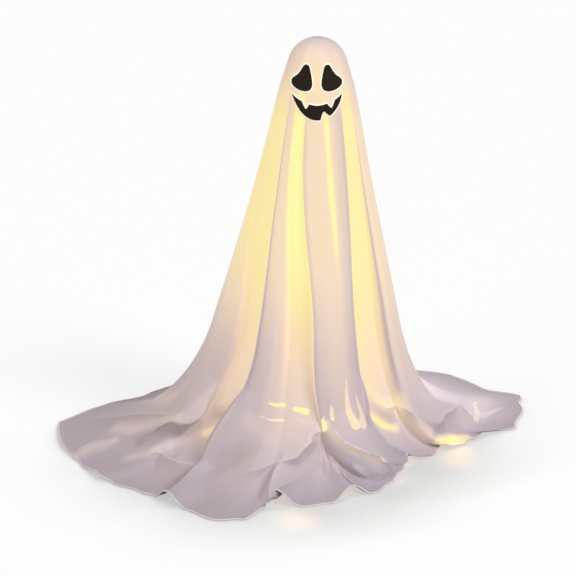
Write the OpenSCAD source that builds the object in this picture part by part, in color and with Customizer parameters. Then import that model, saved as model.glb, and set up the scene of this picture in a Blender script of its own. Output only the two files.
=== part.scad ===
// Standing fabric ghost: a lit cloth cover draped over a two-section
// telescopic pole on a weighted, battery-powered base.
// Millimetres, +Z up. The face looks along -Y, +X is on the right of someone who
// faces it, and the origin is on the floor under the pole.

/* [Sheet] */
// Height of the top of the draped sheet
ghost_h = 610; // [600:1:620]
// Thickness of the cloth as a solid
cloth_t = 1.2; // [1:0.1:1.5]
// Outer radius of the sheet over the head
crown_r = 43; // [42.5:0.5:44]
// Height where the hanging cloth starts to turn towards the floor
knee_z = 200; // [190:1:210]
// Mean radius of the sheet at that height
knee_r = 130; // [126:1:134]
// How far the sheet leans to the ghost's wide side at that height
knee_lean = 17; // [10:1:20]
// How far the cloth below the head stands out from a straight cone
shoulder = 3; // [0:0.5:4]
// Height below which the folds open
fold_top_z = 540; // [500:5:545]

/* [Face] */
// Sideways place of the line midway between the eyes
face_x = -1.6; // [-3:0.1:0]
// Thickness of the white backing under each felt shape
backing_t = 0.5; // [0.4:0.1:0.8]
// Thickness of the black felt
felt_t = 0.8; // [0.5:0.1:1]
// Width of the white rim that shows around the felt
rim_w = 1.8; // [1:0.1:2.5]

/* [Head] */
// Outer radius of the moulded head dome under the sheet
dome_r = 39.7; // [38.5:0.1:39.9]
// Wall of the head dome
dome_wall = 2; // [1.5:0.1:2.5]

/* [Pole] */
// Outer diameter of the fixed lower tube
lower_d = 16; // [16:0.1:16.2]
// Outer diameter of the sliding upper tube
upper_d = 12; // [11.8:0.1:12]
// Wall of both tubes
tube_wall = 1.2; // [1:0.1:1.3]
// Height of the top of the lower tube
lower_top_z = 322; // [310:1:330]

/* [Head lamp] */
// Outer radius of the frosted ring under the head
lamp_r = 18; // [16:0.5:20]
// Height of the frosted ring
lamp_h = 28; // [20:1:28]

/* [Base] */
// Diameter of the base
base_d = 170; // [168:1:180]
// Height of the top of the base housing
base_top_z = 38; // [37:0.5:40]
// Wall of the base housing
base_wall = 2.5; // [2:0.1:3]
// Thickness of the steel ballast disc
ballast_t = 8; // [6:1:8]

/* [Battery] */
// Diameter of one cell
cell_d = 14.5; // [14:0.1:14.5]
// Length of one cell with its button
cell_l = 50.5; // [49:0.1:50.5]
// Number of cells side by side
cell_count = 3; // [3:1:3]

/* [Lights] */
// Turns of the light string round the lower tube
wire_turns = 8; // [6:1:10]
// Diameter of the light string's wire
wire_d = 1.2; // [1:0.1:1.4]
// Lamps on the light string
led_count = 24; // [12:1:30]
// Diameter of one lamp bead
led_d = 3.4; // [3:0.1:3.6]

/* [Hidden] */

$fn = 64;
eps = 0.05;          // how far a cutting tool runs past a face
seat_gap = 0.05;     // radial room of a close fit
free_gap = 0.3;      // room between pieces that move past each other

// Sheet: heights and radii that follow from the driving dimensions
crown_z = ghost_h - crown_r;
lean_angle = 14;     // slope of the cloth where it leaves the head, from the vertical
leave_r = crown_r * cos(lean_angle);
leave_z = crown_z + crown_r * sin(lean_angle);
inner_crown_r = crown_r - cloth_t;
foot_z = 5;          // height of the corner point of the cloth's turn onto the floor
gather_z = 490;      // height above which the fold lines no longer turn sideways
lean_power = 1.6;    // how late the lean sets in on the way down
shoulder_rise = 40;  // height over which the cloth below the head fills out
shoulder_z = 380;    // height where it is back to the cone
shoulder_fall = 160; // height over which it goes back

// Head, pole and base: stacked heights
pad_t = 3;
plate_t = 3;
plate_z = pad_t;
ballast_z = plate_z + plate_t;
tube_z = ballast_z + ballast_t;
lower_r = lower_d / 2;
lower_bore_r = lower_r - tube_wall;
upper_r = upper_d / 2;
upper_bore_r = upper_r - 1;
upper_bottom_z = 240;
upper_top_z = 562;
dome_bottom_z = 546;
hub_disc_z = 548;
hub_bottom_z = 541;
lamp_cap_t = 4;
lamp_wall = 1.5;
lamp_top_z = hub_bottom_z - lamp_cap_t;
lamp_board_t = 1.6;
base_r = base_d / 2;
shoulder_r = 11;     // rounding of the base's top edge
deck_z = base_top_z - base_wall;

// Bolts and screws
bolt_r = 3;
screw_r = 1.35;
base_screw_ring = 70;

// Clamp collar and its thumb screw
collar_bottom_z = lower_top_z - 18;
collar_top_z = lower_top_z + 20;
collar_r = 13;
clamp_z = lower_top_z + 11;
clamp_boss_y = 19;

// Battery bay, behind the pole
bay_x = 56;
bay_y0 = 18;
bay_y1 = bay_y0 + cell_count * 15 + 1;
bay_mid_y = (bay_y0 + bay_y1) / 2;
tray_wall = 1.5;
tray_z = tube_z + 0.2;
cell_z = tray_z + tray_wall + cell_d / 2 + 0.2;
contact_t = 0.5;
contact_w = 11;
lid_t = 2.5;
hinge_y = 70.5;
hinge_z = base_top_z + 4;
hinge_pin_r = 1.5;

// Switch and board, in front of the pole
switch_x = 38;
switch_y = -34;
switch_travel = 5;
board_z = 23;
board_t = 1.6;

// Light string: it leaves the base through a grommet in front of the pole
wire_r = wire_d / 2;
winding_r = lower_r + wire_r + 0.15;
winding_z0 = 66;
winding_z1 = collar_bottom_z - 8;
grommet_y = -18;
loop_steps = 24;     // rings in one turn of the winding

// Fold lines of the sheet, once round from the front through the right (+X):
// [azimuth at the knee, depth of the fold there, azimuth at the hem, radius of the hem,
//  lift of the hem off the floor, sideways swing on the way down, turn towards the head].
// Azimuth 0 is -Y.
FOLDS = [
    [-52, 8, -64, 350, 6, -7, -28], [-50, -9, -60, 339, 0, -7, -26], [-43, -11, -52, 322, 0, -6, -18],
    [-37, -9, -46.5, 315, 2, -6, -9], [-35, 10, -43, 311, 15, -6, -7.5], [-28.5, 12, -35, 314, 0, -3, -9.5],
    [-21, 9, -27, 320, 0, -1, -12], [-18, -10, -20, 304, 0, 2, -13], [-10, -10, -16.5, 268, 3, 6, -14],
    [-6, -9, -13.5, 244, 15, 8, -14.4], [-5.4, -9, -5, 247, 0, 6, -14.4], [-4.8, -9, 4, 237, 0, 5, -14.4],
    [-4.2, -9, 13, 214, 12, 3, -14.4], [-3.6, -8, 21, 219, 0, 2, -14.4], [-3, -5, 31, 204, 2, 0, -14.4],
    [-2, 10, 37, 196, 10, 0, -14.5], [11, 13, 46, 182, 10, 0, -3], [24, 12, 56, 158, 20, 0, 8.5],
    [27, -9, 61, 172, 6, 0, 9], [36, -12, 67, 192, 0, 0, 9], [52, -11, 75, 193, 6, 0, 3],
    [56, 8, 79, 227, 4, 0, 0], [70, 12, 90, 254, 2, 0, 0], [86, 9, 94.5, 309, 0, 0, 0],
    [104, -11, 109, 345, 0, 0, 0], [115, -4, 114, 363, 0, 0, 0], [125, 9, 121, 322, 4, 0, 0],
    [137, 2, 136, 328, 0, 0, 0], [150, -10, 149, 300, 3, 0, 0], [164, 4, 164, 290, 12, 0, 0],
    [178, 10, 179, 302, 0, 0, 0], [194, -9, 194, 282, 4, 0, 0], [210, 8, 210, 288, 12, 0, 0],
    [226, 2, 226, 296, 0, 0, 0], [241, -10, 242, 310, 0, 0, 0], [254, 1, 255, 348, 7, 0, -6],
    [264, 3, 264.5, 398, 2, 0, -10], [280, 4, 276, 384, 4, -4, -18], [294, 9, 287, 362, 0, -7, -24],
];
DOME_RINGS = [72, 53, 34, lean_angle];
SLOPE_RINGS = [for (t = [0, 0.27, 0.53, 0.77]) mix(fold_top_z, knee_z, t)];
TURN_RINGS = [0, 0.25, 0.45, 0.64, 0.82, 1];

function unit(v) = v / norm(v);
function mix(a, b, t) = a + (b - a) * t;
function ease(t) = (1 - cos(180 * min(1, max(0, t)))) / 2;
function polar(azimuth, r, z) = [r * sin(azimuth), -r * cos(azimuth), z];
function arc(c, r, a0, a1, n) = [for (i = [0:n]) let (a = mix(a0, a1, i / n)) c + r * [cos(a), sin(a)]];
function rounded_rect(w, d, r) = [
    for (k = [0:3], p = arc([[1, 1], [-1, 1], [-1, -1], [1, -1]][k] * [[w / 2 - r, 0], [0, d / 2 - r]],
                            r, 90 * k, 90 * k + 90, 5)) p];
// A closed outline of quadratic curves from [corner, pull point] pairs
function curved_outline(pairs, n = 6) = [
    for (i = [0:len(pairs) - 1], k = [0:n - 1])
        let (t = k / n, a = pairs[i][0], c = pairs[i][1], b = pairs[(i + 1) % len(pairs)][0])
            mix(mix(a, c, t), mix(c, b, t), t)];

// Sheet surface

// Radius of the sheet without its folds, at an azimuth and a height
function smooth_radius(a, z) =
    let (t = (leave_z - z) / (leave_z - knee_z))
        mix(leave_r, knee_r, t) - knee_lean * sin(a) * pow(t, lean_power)
        + shoulder * ease((leave_z - z) / shoulder_rise) * ease((z - shoulder_z) / shoulder_fall);
function knee_slope(a) = (knee_r - knee_lean * sin(a) - leave_r) / (leave_z - knee_z);
function line_azimuth(m, z) = m[0] + m[6] * ease((z - knee_z) / (gather_z - knee_z));
function dome_point(m, a) = polar(m[0] + m[6], crown_r * cos(a), crown_z + crown_r * sin(a));
function slope_point(m, z) =
    let (a = line_azimuth(m, z), opened = 2 * ease((fold_top_z - z) / (fold_top_z - knee_z) / 2))
        polar(a, smooth_radius(a, z) + m[1] * opened, z);
// From the knee the cloth turns onto the floor along a quadratic curve
function turn_point(m, u) =
    let (knee = [smooth_radius(m[0], knee_z) + m[1], knee_z], foot_h = cloth_t + foot_z + 0.6 * m[4],
         foot = [knee[0] + knee_slope(m[0]) * (knee_z - foot_h), foot_h], hem = [m[3], cloth_t + m[4]],
         p = mix(mix(knee, foot, u), mix(foot, hem, u), u))
        polar(mix(m[0], m[2], u * u) + m[5] * pow(sin(180 * u), 2), p[0], p[1]);
function sheet_column(m) = concat(
    [for (a = DOME_RINGS) dome_point(m, a)],
    [for (z = SLOPE_RINGS) slope_point(m, z)],
    [for (u = TURN_RINGS) turn_point(m, u)]);
// Outward direction of a grid of points, at row k of column j
function grid_normal(g, j, k) =
    let (n = len(g), last = len(g[0]) - 1, across = g[(j + 1) % n][k] - g[(j + n - 1) % n][k],
         down = g[j][min(k + 1, last)] - g[j][max(k - 1, 0)])
        unit(cross(down, across));
function on_floor(p) = [p[0], p[1], max(0, p[2])];
function inner_column(g, j, t) = [for (k = [0:len(g[0]) - 1]) on_floor(g[j][k] - t * grid_normal(g, j, k))];

// Face outlines, as seen from the front: [x, z]
EYE = [
    [[-15.5, 578], [-11.5, 577.5]], [[-10.5, 568.7], [-8.2, 560]], [[-8, 552.5], [-8.5, 543.3]],
    [[-17, 542.7], [-25, 542.2]], [[-32, 546.5], [-37, 549.8]], [[-36.5, 554], [-36.5, 558]],
    [[-30, 562.2], [-25.5, 565.5]], [[-21, 574.2], [-18.5, 578.5]],
];
MOUTH = [
    [[-36.3, 538], [-30.3, 532.2]], [[-22.3, 529], [-20.8, 523.6]], [[-17, 518.7], [-14.3, 520.7]],
    [[-12.3, 525.5], [-0.3, 521.6]], [[12.2, 526.5], [14.7, 523.6]], [[18.5, 519.7], [21.2, 522.6]],
    [[23.2, 530.8], [28.7, 533.2]], [[33.2, 538], [31.2, 520.7]], [[16.7, 509.6], [12.7, 512]],
    [[8.7, 516], [5.7, 515.4]], [[3.7, 504.3], [-22.3, 500]],
];
FACE_AZIMUTHS = [for (a = [-80:5:80]) a];
FACE_HEIGHTS = [for (z = [494:11.5:586]) z];
FACE_SINK = 0.6;     // room between the sheet and the backing

// An outline turned over about the middle line of the face
function turned_over(pairs) = [for (pair = pairs) [for (p = pair) [2 * face_x - p[0], p[1]]]];
// Radius of the sheet's smooth upper part at an azimuth and a height
function face_radius(a, z) =
    z > leave_z ? sqrt(crown_r * crown_r - (z - crown_z) * (z - crown_z)) : smooth_radius(a, z);

// Swept tubes

function tangents(p) = [for (i = [0:len(p) - 1]) unit(p[min(i + 1, len(p) - 1)] - p[max(i - 1, 0)])];
function first_normal(t) = unit(cross(t, abs(t[2]) < 0.9 ? [0, 0, 1] : [1, 0, 0]));
// A normal carried along the path without twist
function carried_normals(t) = [
    for (i = 0, n = first_normal(t[0]); i < len(t);
         n = unit(n - (n * t[min(i + 1, len(t) - 1)]) * t[min(i + 1, len(t) - 1)]), i = i + 1) n];
// Least distance between stretches of a path that are over half a turn apart
function least_gap(p, skip) = min([
    for (i = [0:len(p) - skip - 1], j = [i + skip:min(len(p) - 1, i + 2 * skip + 2)]) norm(p[i] - p[j])]);

// Light string: from the board up through the grommet, then round the tube
LEAD_IN = [[24, -28, 27], [14, -26, 27], [6, -22, 27.5], [1.5, -19, 29], [0, grommet_y, 32],
           [0, grommet_y, 36], [0, grommet_y, 44], [0, -16, 50], [0, -13, 56]];
WINDING = [for (i = [0:wire_turns * loop_steps])
    let (a = 360 * i / loop_steps)
        polar(a, winding_r, mix(winding_z0, winding_z1, i / (wire_turns * loop_steps)))];
WIRE_PATH = concat(LEAD_IN, WINDING);
echo(winding_gap = least_gap(WINDING, loop_steps / 2) - wire_d);

SPRING_TURNS = 3;
SPRING_STEPS = 8;
spring_r = 3.2;
spring_wire_r = 0.3;
spring_l = 3.6;
SPRING_PATH = [for (i = [0:SPRING_TURNS * SPRING_STEPS])
    let (a = 360 * i / SPRING_STEPS, t = i / (SPRING_TURNS * SPRING_STEPS))
        [spring_l * t, spring_r * cos(a), spring_r * sin(a)]];
echo(spring_gap = least_gap(SPRING_PATH, SPRING_STEPS / 2) - 2 * spring_wire_r);

module tube(path, r, sides) {
    t = tangents(path);
    n = carried_normals(t);
    m = len(path);
    points = [for (i = [0:m - 1], k = [0:sides - 1])
        let (a = 360 * k / sides) path[i] + r * (cos(a) * n[i] + sin(a) * cross(t[i], n[i]))];
    walls = [for (i = [0:m - 2], k = [0:sides - 1])
        let (a = i * sides + k, b = i * sides + (k + 1) % sides)
            each [[a, a + sides, b], [b, a + sides, b + sides]]];
    start = [for (k = [1:sides - 2]) [0, k, k + 1]];
    finish = [for (k = [1:sides - 2]) [(m - 1) * sides, (m - 1) * sides + k + 1, (m - 1) * sides + k]];
    polyhedron(points, concat(walls, start, finish), convexity = 10);
}

// Sheet and face

module ghost_sheet() {
    count = len(FOLDS);
    outer = [for (m = FOLDS) sheet_column(m)];
    rings = len(outer[0]);
    inner = [for (j = [0:count - 1]) inner_column(outer, j, cloth_t)];
    points = concat([[0, 0, ghost_h], [0, 0, ghost_h - cloth_t]],
                    [for (j = [0:count - 1]) each outer[j]], [for (j = [0:count - 1]) each inner[j]]);
    skin = count * rings;
    faces = [for (j = [0:count - 1])
        let (a = 2 + j * rings, b = 2 + ((j + 1) % count) * rings, hem = rings - 1)
            each concat(
                [[0, a, b], [1, b + skin, a + skin]],
                [for (k = [0:hem - 1]) each [[a + k, a + k + 1, b + k], [b + k, a + k + 1, b + k + 1],
                    [a + skin + k, b + skin + k, a + skin + k + 1],
                    [b + skin + k, b + skin + k + 1, a + skin + k + 1]]],
                [[a + hem, a + skin + hem, b + hem], [b + hem, a + skin + hem, b + skin + hem]])];
    color("ghostwhite") polyhedron(points, faces, convexity = 10);
}

// A slice of space that lies over the sheet's face, from lo to hi off the cloth
module face_layer(lo, hi) {
    na = len(FACE_AZIMUTHS);
    nz = len(FACE_HEIGHTS);
    points = [for (d = [lo, hi], a = FACE_AZIMUTHS, z = FACE_HEIGHTS) polar(a, face_radius(a, z) + d, z)];
    side = na * nz;
    front = [for (i = [0:na - 2], k = [0:nz - 2])
        let (a = i * nz + k, b = a + nz, c = side + a, d = side + b)
            each [[c, c + 1, d], [d, c + 1, d + 1], [a, b, a + 1], [b, b + 1, a + 1]]];
    ends = [for (k = [0:nz - 2], i = [0, na - 1]) let (a = i * nz + k, s = i == 0 ? 0 : 1)
        each (s == 0 ? [[a, a + 1, a + side], [a + 1, a + 1 + side, a + side]]
                     : [[a, a + side, a + 1], [a + 1, a + side, a + 1 + side]])];
    rims = [for (i = [0:na - 2], k = [0, nz - 1]) let (a = i * nz + k, b = a + nz)
        each (k == 0 ? [[a, a + side, b], [b, a + side, b + side]]
                     : [[a, b, a + side], [b, b + side, a + side]])];
    polyhedron(points, concat(front, ends, rims), convexity = 6);
}

// A cut shape lying on the face, pressed through from the front
module face_shape(outline, grow, lo, hi) {
    intersection() {
        face_layer(lo, hi);
        rotate([90, 0, 0]) linear_extrude(100) offset(r = grow) polygon(outline);
    }
}

module backing(outline) {
    color("white") face_shape(outline, rim_w, FACE_SINK, FACE_SINK + backing_t);
}

module felt(outline) {
    lo = FACE_SINK + backing_t + eps;
    color("black") face_shape(outline, 0.01, lo, lo + felt_t);
}

module left_eye_backing() backing(curved_outline(EYE));
module left_eye() felt(curved_outline(EYE));
module right_eye_backing() backing(curved_outline(turned_over(EYE)));
module right_eye() felt(curved_outline(turned_over(EYE)));
module mouth_backing() backing(curved_outline(MOUTH, 4));
module mouth() felt(curved_outline(MOUTH, 4));

// Head

module rod(z0, z1, r) translate([0, 0, z0]) cylinder(h = z1 - z0, r = r);

module head_dome() {
    color("whitesmoke") difference() {
        union() {
            translate([0, 0, crown_z]) sphere(dome_r);
            rod(dome_bottom_z, crown_z, dome_r);
        }
        translate([0, 0, crown_z]) sphere(dome_r - dome_wall);
        rod(dome_bottom_z - eps, crown_z, dome_r - dome_wall);
        rod(dome_bottom_z - 2 * dome_r, dome_bottom_z, 2 * dome_r);
    }
}

// Hook-and-loop dot that holds the sheet on the dome
module crown_pad() {
    pad_r = 11;
    color("gainsboro") translate([0, 0, crown_z]) intersection() {
        difference() {
            sphere(dome_r + 0.85);
            sphere(dome_r + eps);
        }
        cylinder(h = 2 * dome_r, r = pad_r);
    }
}

module head_hub() {
    hole_ring = 22;
    color("lightgray") difference() {
        union() {
            rod(hub_bottom_z, upper_top_z + 4, upper_r + 3);
            rod(hub_disc_z, hub_disc_z + 3, dome_r - dome_wall - seat_gap);
        }
        rod(hub_bottom_z - eps, upper_top_z, upper_r + seat_gap);
        for (a = [30:60:330])
            rotate(a) translate([hole_ring, 0, 0]) rod(hub_disc_z - eps, hub_disc_z + 3 + eps, 8);
        translate([0, 0, upper_top_z - 4]) rotate([0, 90, 0]) cylinder(h = 20, r = screw_r + seat_gap);
    }
}

// Ring lamp under the hub: a cap, a board and a frosted ring around the tube
module lamp_cap() color("lightgray") pipe(lamp_top_z, hub_bottom_z, lamp_r + 1, upper_r + seat_gap);

module lamp_board() {
    color("seagreen") pipe(lamp_top_z - lamp_board_t, lamp_top_z, lamp_r - lamp_wall - 0.2, upper_r + 1);
}

module lamp_diffuser() {
    color("moccasin") difference() {
        rod(lamp_top_z - lamp_h, lamp_top_z, lamp_r);
        rod(lamp_top_z - lamp_h + lamp_wall, lamp_top_z + eps, lamp_r - lamp_wall);
        rod(lamp_top_z - lamp_h - eps, lamp_top_z, upper_r + seat_gap);
    }
}

module hub_screw() {
    color("silver") translate([upper_bore_r - 1, 0, upper_top_z - 4]) rotate([0, 90, 0]) difference() {
        union() {
            cylinder(h = upper_r + 3 - upper_bore_r + 1 + seat_gap, r = screw_r);
            translate([0, 0, upper_r + 4 + seat_gap - upper_bore_r]) cylinder(h = 1.8, r1 = 2.8, r2 = 2);
        }
        translate([-0.4, -1.4, upper_r + 5.2 - upper_bore_r]) cube([0.8, 2.8, 2]);
    }
}

// Pole

module pipe(z0, z1, r, bore) {
    difference() {
        rod(z0, z1, r);
        rod(z0 - eps, z1 + eps, bore);
    }
}

module upper_tube() {
    color("silver") difference() {
        pipe(upper_bottom_z, upper_top_z, upper_r, upper_bore_r);
        translate([0, 0, upper_top_z - 4]) rotate([0, 90, 0]) cylinder(h = 20, r = screw_r + seat_gap);
    }
}

// Plastic bush on the foot of the upper tube, running in the lower one
module slide_bush() {
    color("dimgray") difference() {
        union() {
            rod(upper_bottom_z - 6, upper_bottom_z, lower_bore_r - seat_gap);
            rod(upper_bottom_z - eps, upper_bottom_z + 15, upper_bore_r - 0.02);
        }
        rod(upper_bottom_z - 6 - eps, upper_bottom_z + 15 + eps, 3);
    }
}

module lower_tube() color("silver") pipe(tube_z, lower_top_z, lower_r, lower_bore_r);

module tube_plug() color("dimgray") pipe(tube_z, tube_z + 16, lower_bore_r - 0.02, bolt_r + seat_gap);

module pole_bolt() {
    head_t = 1.8;
    color("gray") translate([0, 0, plate_z + 0.2]) difference() {
        union() {
            cylinder(h = head_t, r = 6);
            cylinder(h = tube_z + 15 - plate_z, r = bolt_r);
        }
        translate([0, 0, -eps]) cylinder(h = 1.2, r = 2.3, $fn = 6);
    }
}

module pole_washer() color("lightgray") pipe(ballast_z - 1, ballast_z, 8, bolt_r + 0.2);

// Collar on the lower tube: guides the upper tube and carries the thumb screw
module clamp_collar() {
    color("dimgray") difference() {
        union() {
            rod(collar_bottom_z, collar_top_z - 2, collar_r);
            translate([0, 0, collar_top_z - 2]) cylinder(h = 2, r1 = collar_r, r2 = collar_r - 2);
            translate([0, 0, clamp_z]) rotate([90, 0, 0]) cylinder(h = clamp_boss_y, r = 7);
        }
        rod(collar_bottom_z - eps, lower_top_z, lower_r + seat_gap);
        rod(collar_bottom_z, collar_top_z + eps, upper_r + 0.08);
        translate([0, 0, clamp_z]) rotate([90, 0, 0]) cylinder(h = clamp_boss_y + 1, r = bolt_r + seat_gap);
    }
}

module lock_knob() {
    grip_y = clamp_boss_y + free_gap;
    color("dimgray") translate([0, 0, clamp_z]) rotate([90, 0, 0]) {
        translate([0, 0, upper_r + free_gap]) cylinder(h = grip_y - upper_r, r = bolt_r);
        translate([0, 0, grip_y]) linear_extrude(8)
            polygon([for (a = [0:5:355]) (8.2 + 0.8 * cos(6 * a)) * [cos(a), sin(a)]]);
        translate([0, 0, grip_y + 8]) cylinder(h = 1.5, r1 = 7, r2 = 5.5);
    }
}

// Base

module base_shell_body() {
    shoulder = [base_r - shoulder_r, base_top_z - shoulder_r];
    outer = concat([[0, ballast_z], [base_r, ballast_z]],
                   arc(shoulder, shoulder_r, 0, 90, 8), [[0, base_top_z]]);
    inner = concat([[0, ballast_z - 1], [base_r - base_wall, ballast_z - 1]],
                   arc(shoulder, shoulder_r - base_wall, 0, 90, 8), [[0, deck_z]]);
    difference() {
        rotate_extrude() polygon(outer);
        rotate_extrude() polygon(inner);
    }
}

module at_base_screws() for (a = [45:90:315]) rotate(a) translate([base_screw_ring, 0, 0]) children();

module hinge_bore(r) {
    translate([0, hinge_y, hinge_z]) rotate([0, 90, 0]) cylinder(h = 60, r = r, center = true);
}

module hinge_ear(side) {
    translate([side * 15, hinge_y, 0]) {
        translate([-3, -2.8, deck_z]) cube([6, 5.6, hinge_z - deck_z]);
        translate([-3, 0, hinge_z]) rotate([0, 90, 0]) cylinder(h = 6, r = 2.8);
    }
}

module base_shell() {
    color("darkslategray") difference() {
        union() {
            base_shell_body();
            rod(tube_z + 4, base_top_z + 8, lower_r + 4);
            at_base_screws() rod(ballast_z, deck_z + 1, 4);
            for (side = [-1, 1]) {
                hinge_ear(side);
                translate([switch_x + side * 16, switch_y, 0]) rod(board_z + board_t, deck_z + 1, 3);
            }
        }
        rod(tube_z, base_top_z + 20, lower_r + seat_gap);
        at_base_screws() rod(ballast_z - eps, ballast_z + 16, screw_r + seat_gap);
        translate([-bay_x / 2, bay_y0, deck_z - 1]) cube([bay_x, bay_y1 - bay_y0, 10]);
        hinge_bore(hinge_pin_r + 0.02);
        translate([switch_x - 7, switch_y - 2.5, deck_z - 1]) cube([14, 5, 10]);
        translate([0, grommet_y, deck_z - 1]) cylinder(h = 10, r = 2.5);
    }
}

module base_plate() {
    color("darkslategray") translate([0, 0, plate_z]) difference() {
        cylinder(h = plate_t, r = base_r);
        translate([0, 0, -eps]) cylinder(h = plate_t + 2 * eps, r = 9);
        at_base_screws() {
            rod(-eps, plate_t + eps, screw_r + 0.3);
            rod(-eps, 1.6, 3.2);
        }
    }
}

module base_screws() {
    color("silver") translate([0, 0, plate_z + 0.2]) at_base_screws() difference() {
        union() {
            cylinder(h = 1.4, r = 2.9);
            cylinder(h = 15, r = screw_r);
        }
        translate([-0.4, -2, -eps]) cube([0.8, 4, 0.7]);
    }
}

module ballast() {
    color("gray") pipe(ballast_z, ballast_z + ballast_t, 64, bolt_r + 0.2);
}

module foot_pad() color("black") cylinder(h = pad_t, r = base_r - 4);

// Battery bay

module battery_tray() {
    color("dimgray") difference() {
        translate([-bay_x / 2 - tray_wall, bay_y0 - tray_wall, tray_z])
            cube([bay_x + 2 * tray_wall, bay_y1 - bay_y0 + 2 * tray_wall, deck_z - 0.3 - tray_z]);
        translate([-bay_x / 2, bay_y0, tray_z + tray_wall]) cube([bay_x, bay_y1 - bay_y0, 40]);
    }
}

function cell_y(i) = bay_y0 + 8 + 15 * i;
function cell_side(i) = i % 2 == 0 ? 1 : -1;

module battery_cells() {
    button_l = 1.5;
    color("goldenrod") for (i = [0:cell_count - 1])
        translate([0, cell_y(i), cell_z]) mirror([cell_side(i) < 0 ? 1 : 0, 0, 0])
            translate([bay_x / 2 - contact_t - 0.2, 0, 0]) rotate([0, -90, 0]) {
                cylinder(h = button_l + eps, r = 2.6);
                translate([0, 0, button_l]) cylinder(h = cell_l - button_l, r = cell_d / 2);
            }
}

module contact_plates() {
    color("silver") for (i = [0:cell_count - 1], side = [-1, 1])
        translate([side * (bay_x - contact_t) / 2, cell_y(i), cell_z])
            cube([contact_t, contact_w, contact_w], center = true);
}

module contact_springs() {
    color("silver") for (i = [0:cell_count - 1])
        translate([0, cell_y(i), cell_z]) mirror([cell_side(i) < 0 ? 1 : 0, 0, 0])
            translate([-bay_x / 2 + contact_t + spring_wire_r + 0.1, 0, 0])
                tube(SPRING_PATH, spring_wire_r, 6);
}

module battery_lid() {
    lid_z = base_top_z + free_gap;
    lid_size = [bay_x + 6, bay_y1 - bay_y0 + 5];
    lip = 1.6;
    color("dimgray") difference() {
        union() {
            translate([0, bay_mid_y, lid_z])
                linear_extrude(lid_t) polygon(rounded_rect(lid_size[0], lid_size[1], 3));
            translate([-bay_x / 2 + 1.5, bay_y0 + 1.5, base_top_z - 2]) difference() {
                cube([bay_x - 3, bay_y1 - bay_y0 - 3, 2 + free_gap + eps]);
                translate([lip, lip, -eps]) cube([bay_x - 3 - 2 * lip, bay_y1 - bay_y0 - 3 - 2 * lip, 3]);
            }
            translate([-11.5, bay_y1, lid_z]) cube([23, hinge_y - bay_y1, lid_t]);
            translate([-11.5, hinge_y, hinge_z]) rotate([0, 90, 0]) cylinder(h = 23, r = 2.8);
        }
        hinge_bore(hinge_pin_r + 0.07);
        for (k = [-2:2]) translate([-9, bay_y0 + 4 + 2.4 * k, lid_z + lid_t - 0.5]) cube([18, 1, 1]);
    }
}

module lid_hinge_pin() {
    color("silver") translate([-18, hinge_y, hinge_z]) rotate([0, 90, 0]) cylinder(h = 36, r = hinge_pin_r);
}

// Switch, board and leads

module switch_body() {
    body_h = deck_z - board_z - board_t - 0.3;
    color("silver") translate([switch_x - 10, switch_y - 5, board_z + board_t]) difference() {
        cube([20, 10, body_h]);
        translate([3, 2.6, body_h - 4]) cube([14, 4.8, 5]);
    }
}

module switch_knob() {
    stem = [5, 4];
    color("black") translate([switch_x + switch_travel / 2, switch_y, 0]) {
        translate([-stem[0] / 2, -stem[1] / 2, deck_z - 3.5]) cube([stem[0], stem[1], base_wall + 4.5]);
        difference() {
            translate([0, 0, base_top_z + free_gap]) linear_extrude(3.5) polygon(rounded_rect(11, 8, 1.5));
            for (k = [-1:1]) translate([2 * k - 0.4, -3, base_top_z + 3.2]) cube([0.8, 6, 2]);
        }
    }
}

module driver_board() {
    color("seagreen") translate([switch_x - 20, switch_y - 10, board_z]) cube([40, 22, board_t]);
}

module battery_leads() {
    lead_r = 0.7;
    color("firebrick") for (k = [0, 1])
        let (drop = 2.4 * k, x0 = bay_x / 2 + tray_wall)
            tube([[x0, 24 + 4 * k, 25], [x0 + 3, 24 + 4 * k, 25], [x0 + 6 + drop, 20, 25],
                  [x0 + 8 + drop, 8, 25], [x0 + 9 + drop, -8, 26], [x0 + 9 + drop, -18, 26.5],
                  [x0 + 9 + drop, -24, 26],
                  [x0 + 9 + drop, -28, board_z + board_t + lead_r + 0.1]], lead_r, 8);
}

// Lights

module light_wire() color("silver") tube(WIRE_PATH, wire_r, 6);

module led_beads() {
    per_led = (wire_turns * loop_steps) / led_count;
    color("moccasin") for (i = [0:led_count - 1])
        let (k = round(per_led * (i + 0.5)), a = 360 * k / loop_steps,
             z = mix(winding_z0, winding_z1, k / (wire_turns * loop_steps)))
            translate(polar(a, winding_r + 1.1, z)) sphere(led_d / 2);
}

module wire_grommet() {
    color("black") translate([0, grommet_y, 0]) difference() {
        union() {
            translate([0, 0, deck_z - 1.2]) cylinder(h = base_wall + 2.4, r = 2.5 - 0.02);
            translate([0, 0, deck_z - 1.3]) cylinder(h = 1.2, r = 3.6);
            translate([0, 0, base_top_z + 0.05]) cylinder(h = 1.6, r1 = 3.6, r2 = 2.6);
        }
        translate([0, 0, deck_z - 2]) cylinder(h = 10, r = wire_r + 0.1);
    }
}

ghost_sheet();
left_eye_backing();
left_eye();
right_eye_backing();
right_eye();
mouth_backing();
mouth();
head_dome();
crown_pad();
head_hub();
hub_screw();
lamp_cap();
lamp_board();
lamp_diffuser();
upper_tube();
slide_bush();
lower_tube();
tube_plug();
pole_bolt();
pole_washer();
clamp_collar();
lock_knob();
base_shell();
base_plate();
base_screws();
ballast();
foot_pad();
battery_tray();
battery_cells();
contact_plates();
contact_springs();
battery_lid();
lid_hinge_pin();
switch_body();
switch_knob();
driver_board();
battery_leads();
light_wire();
led_beads();
wire_grommet();
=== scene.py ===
"""Standing fabric ghost: a lit cloth cover with a felt face, draped over a telescopic stand."""

import math

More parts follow.
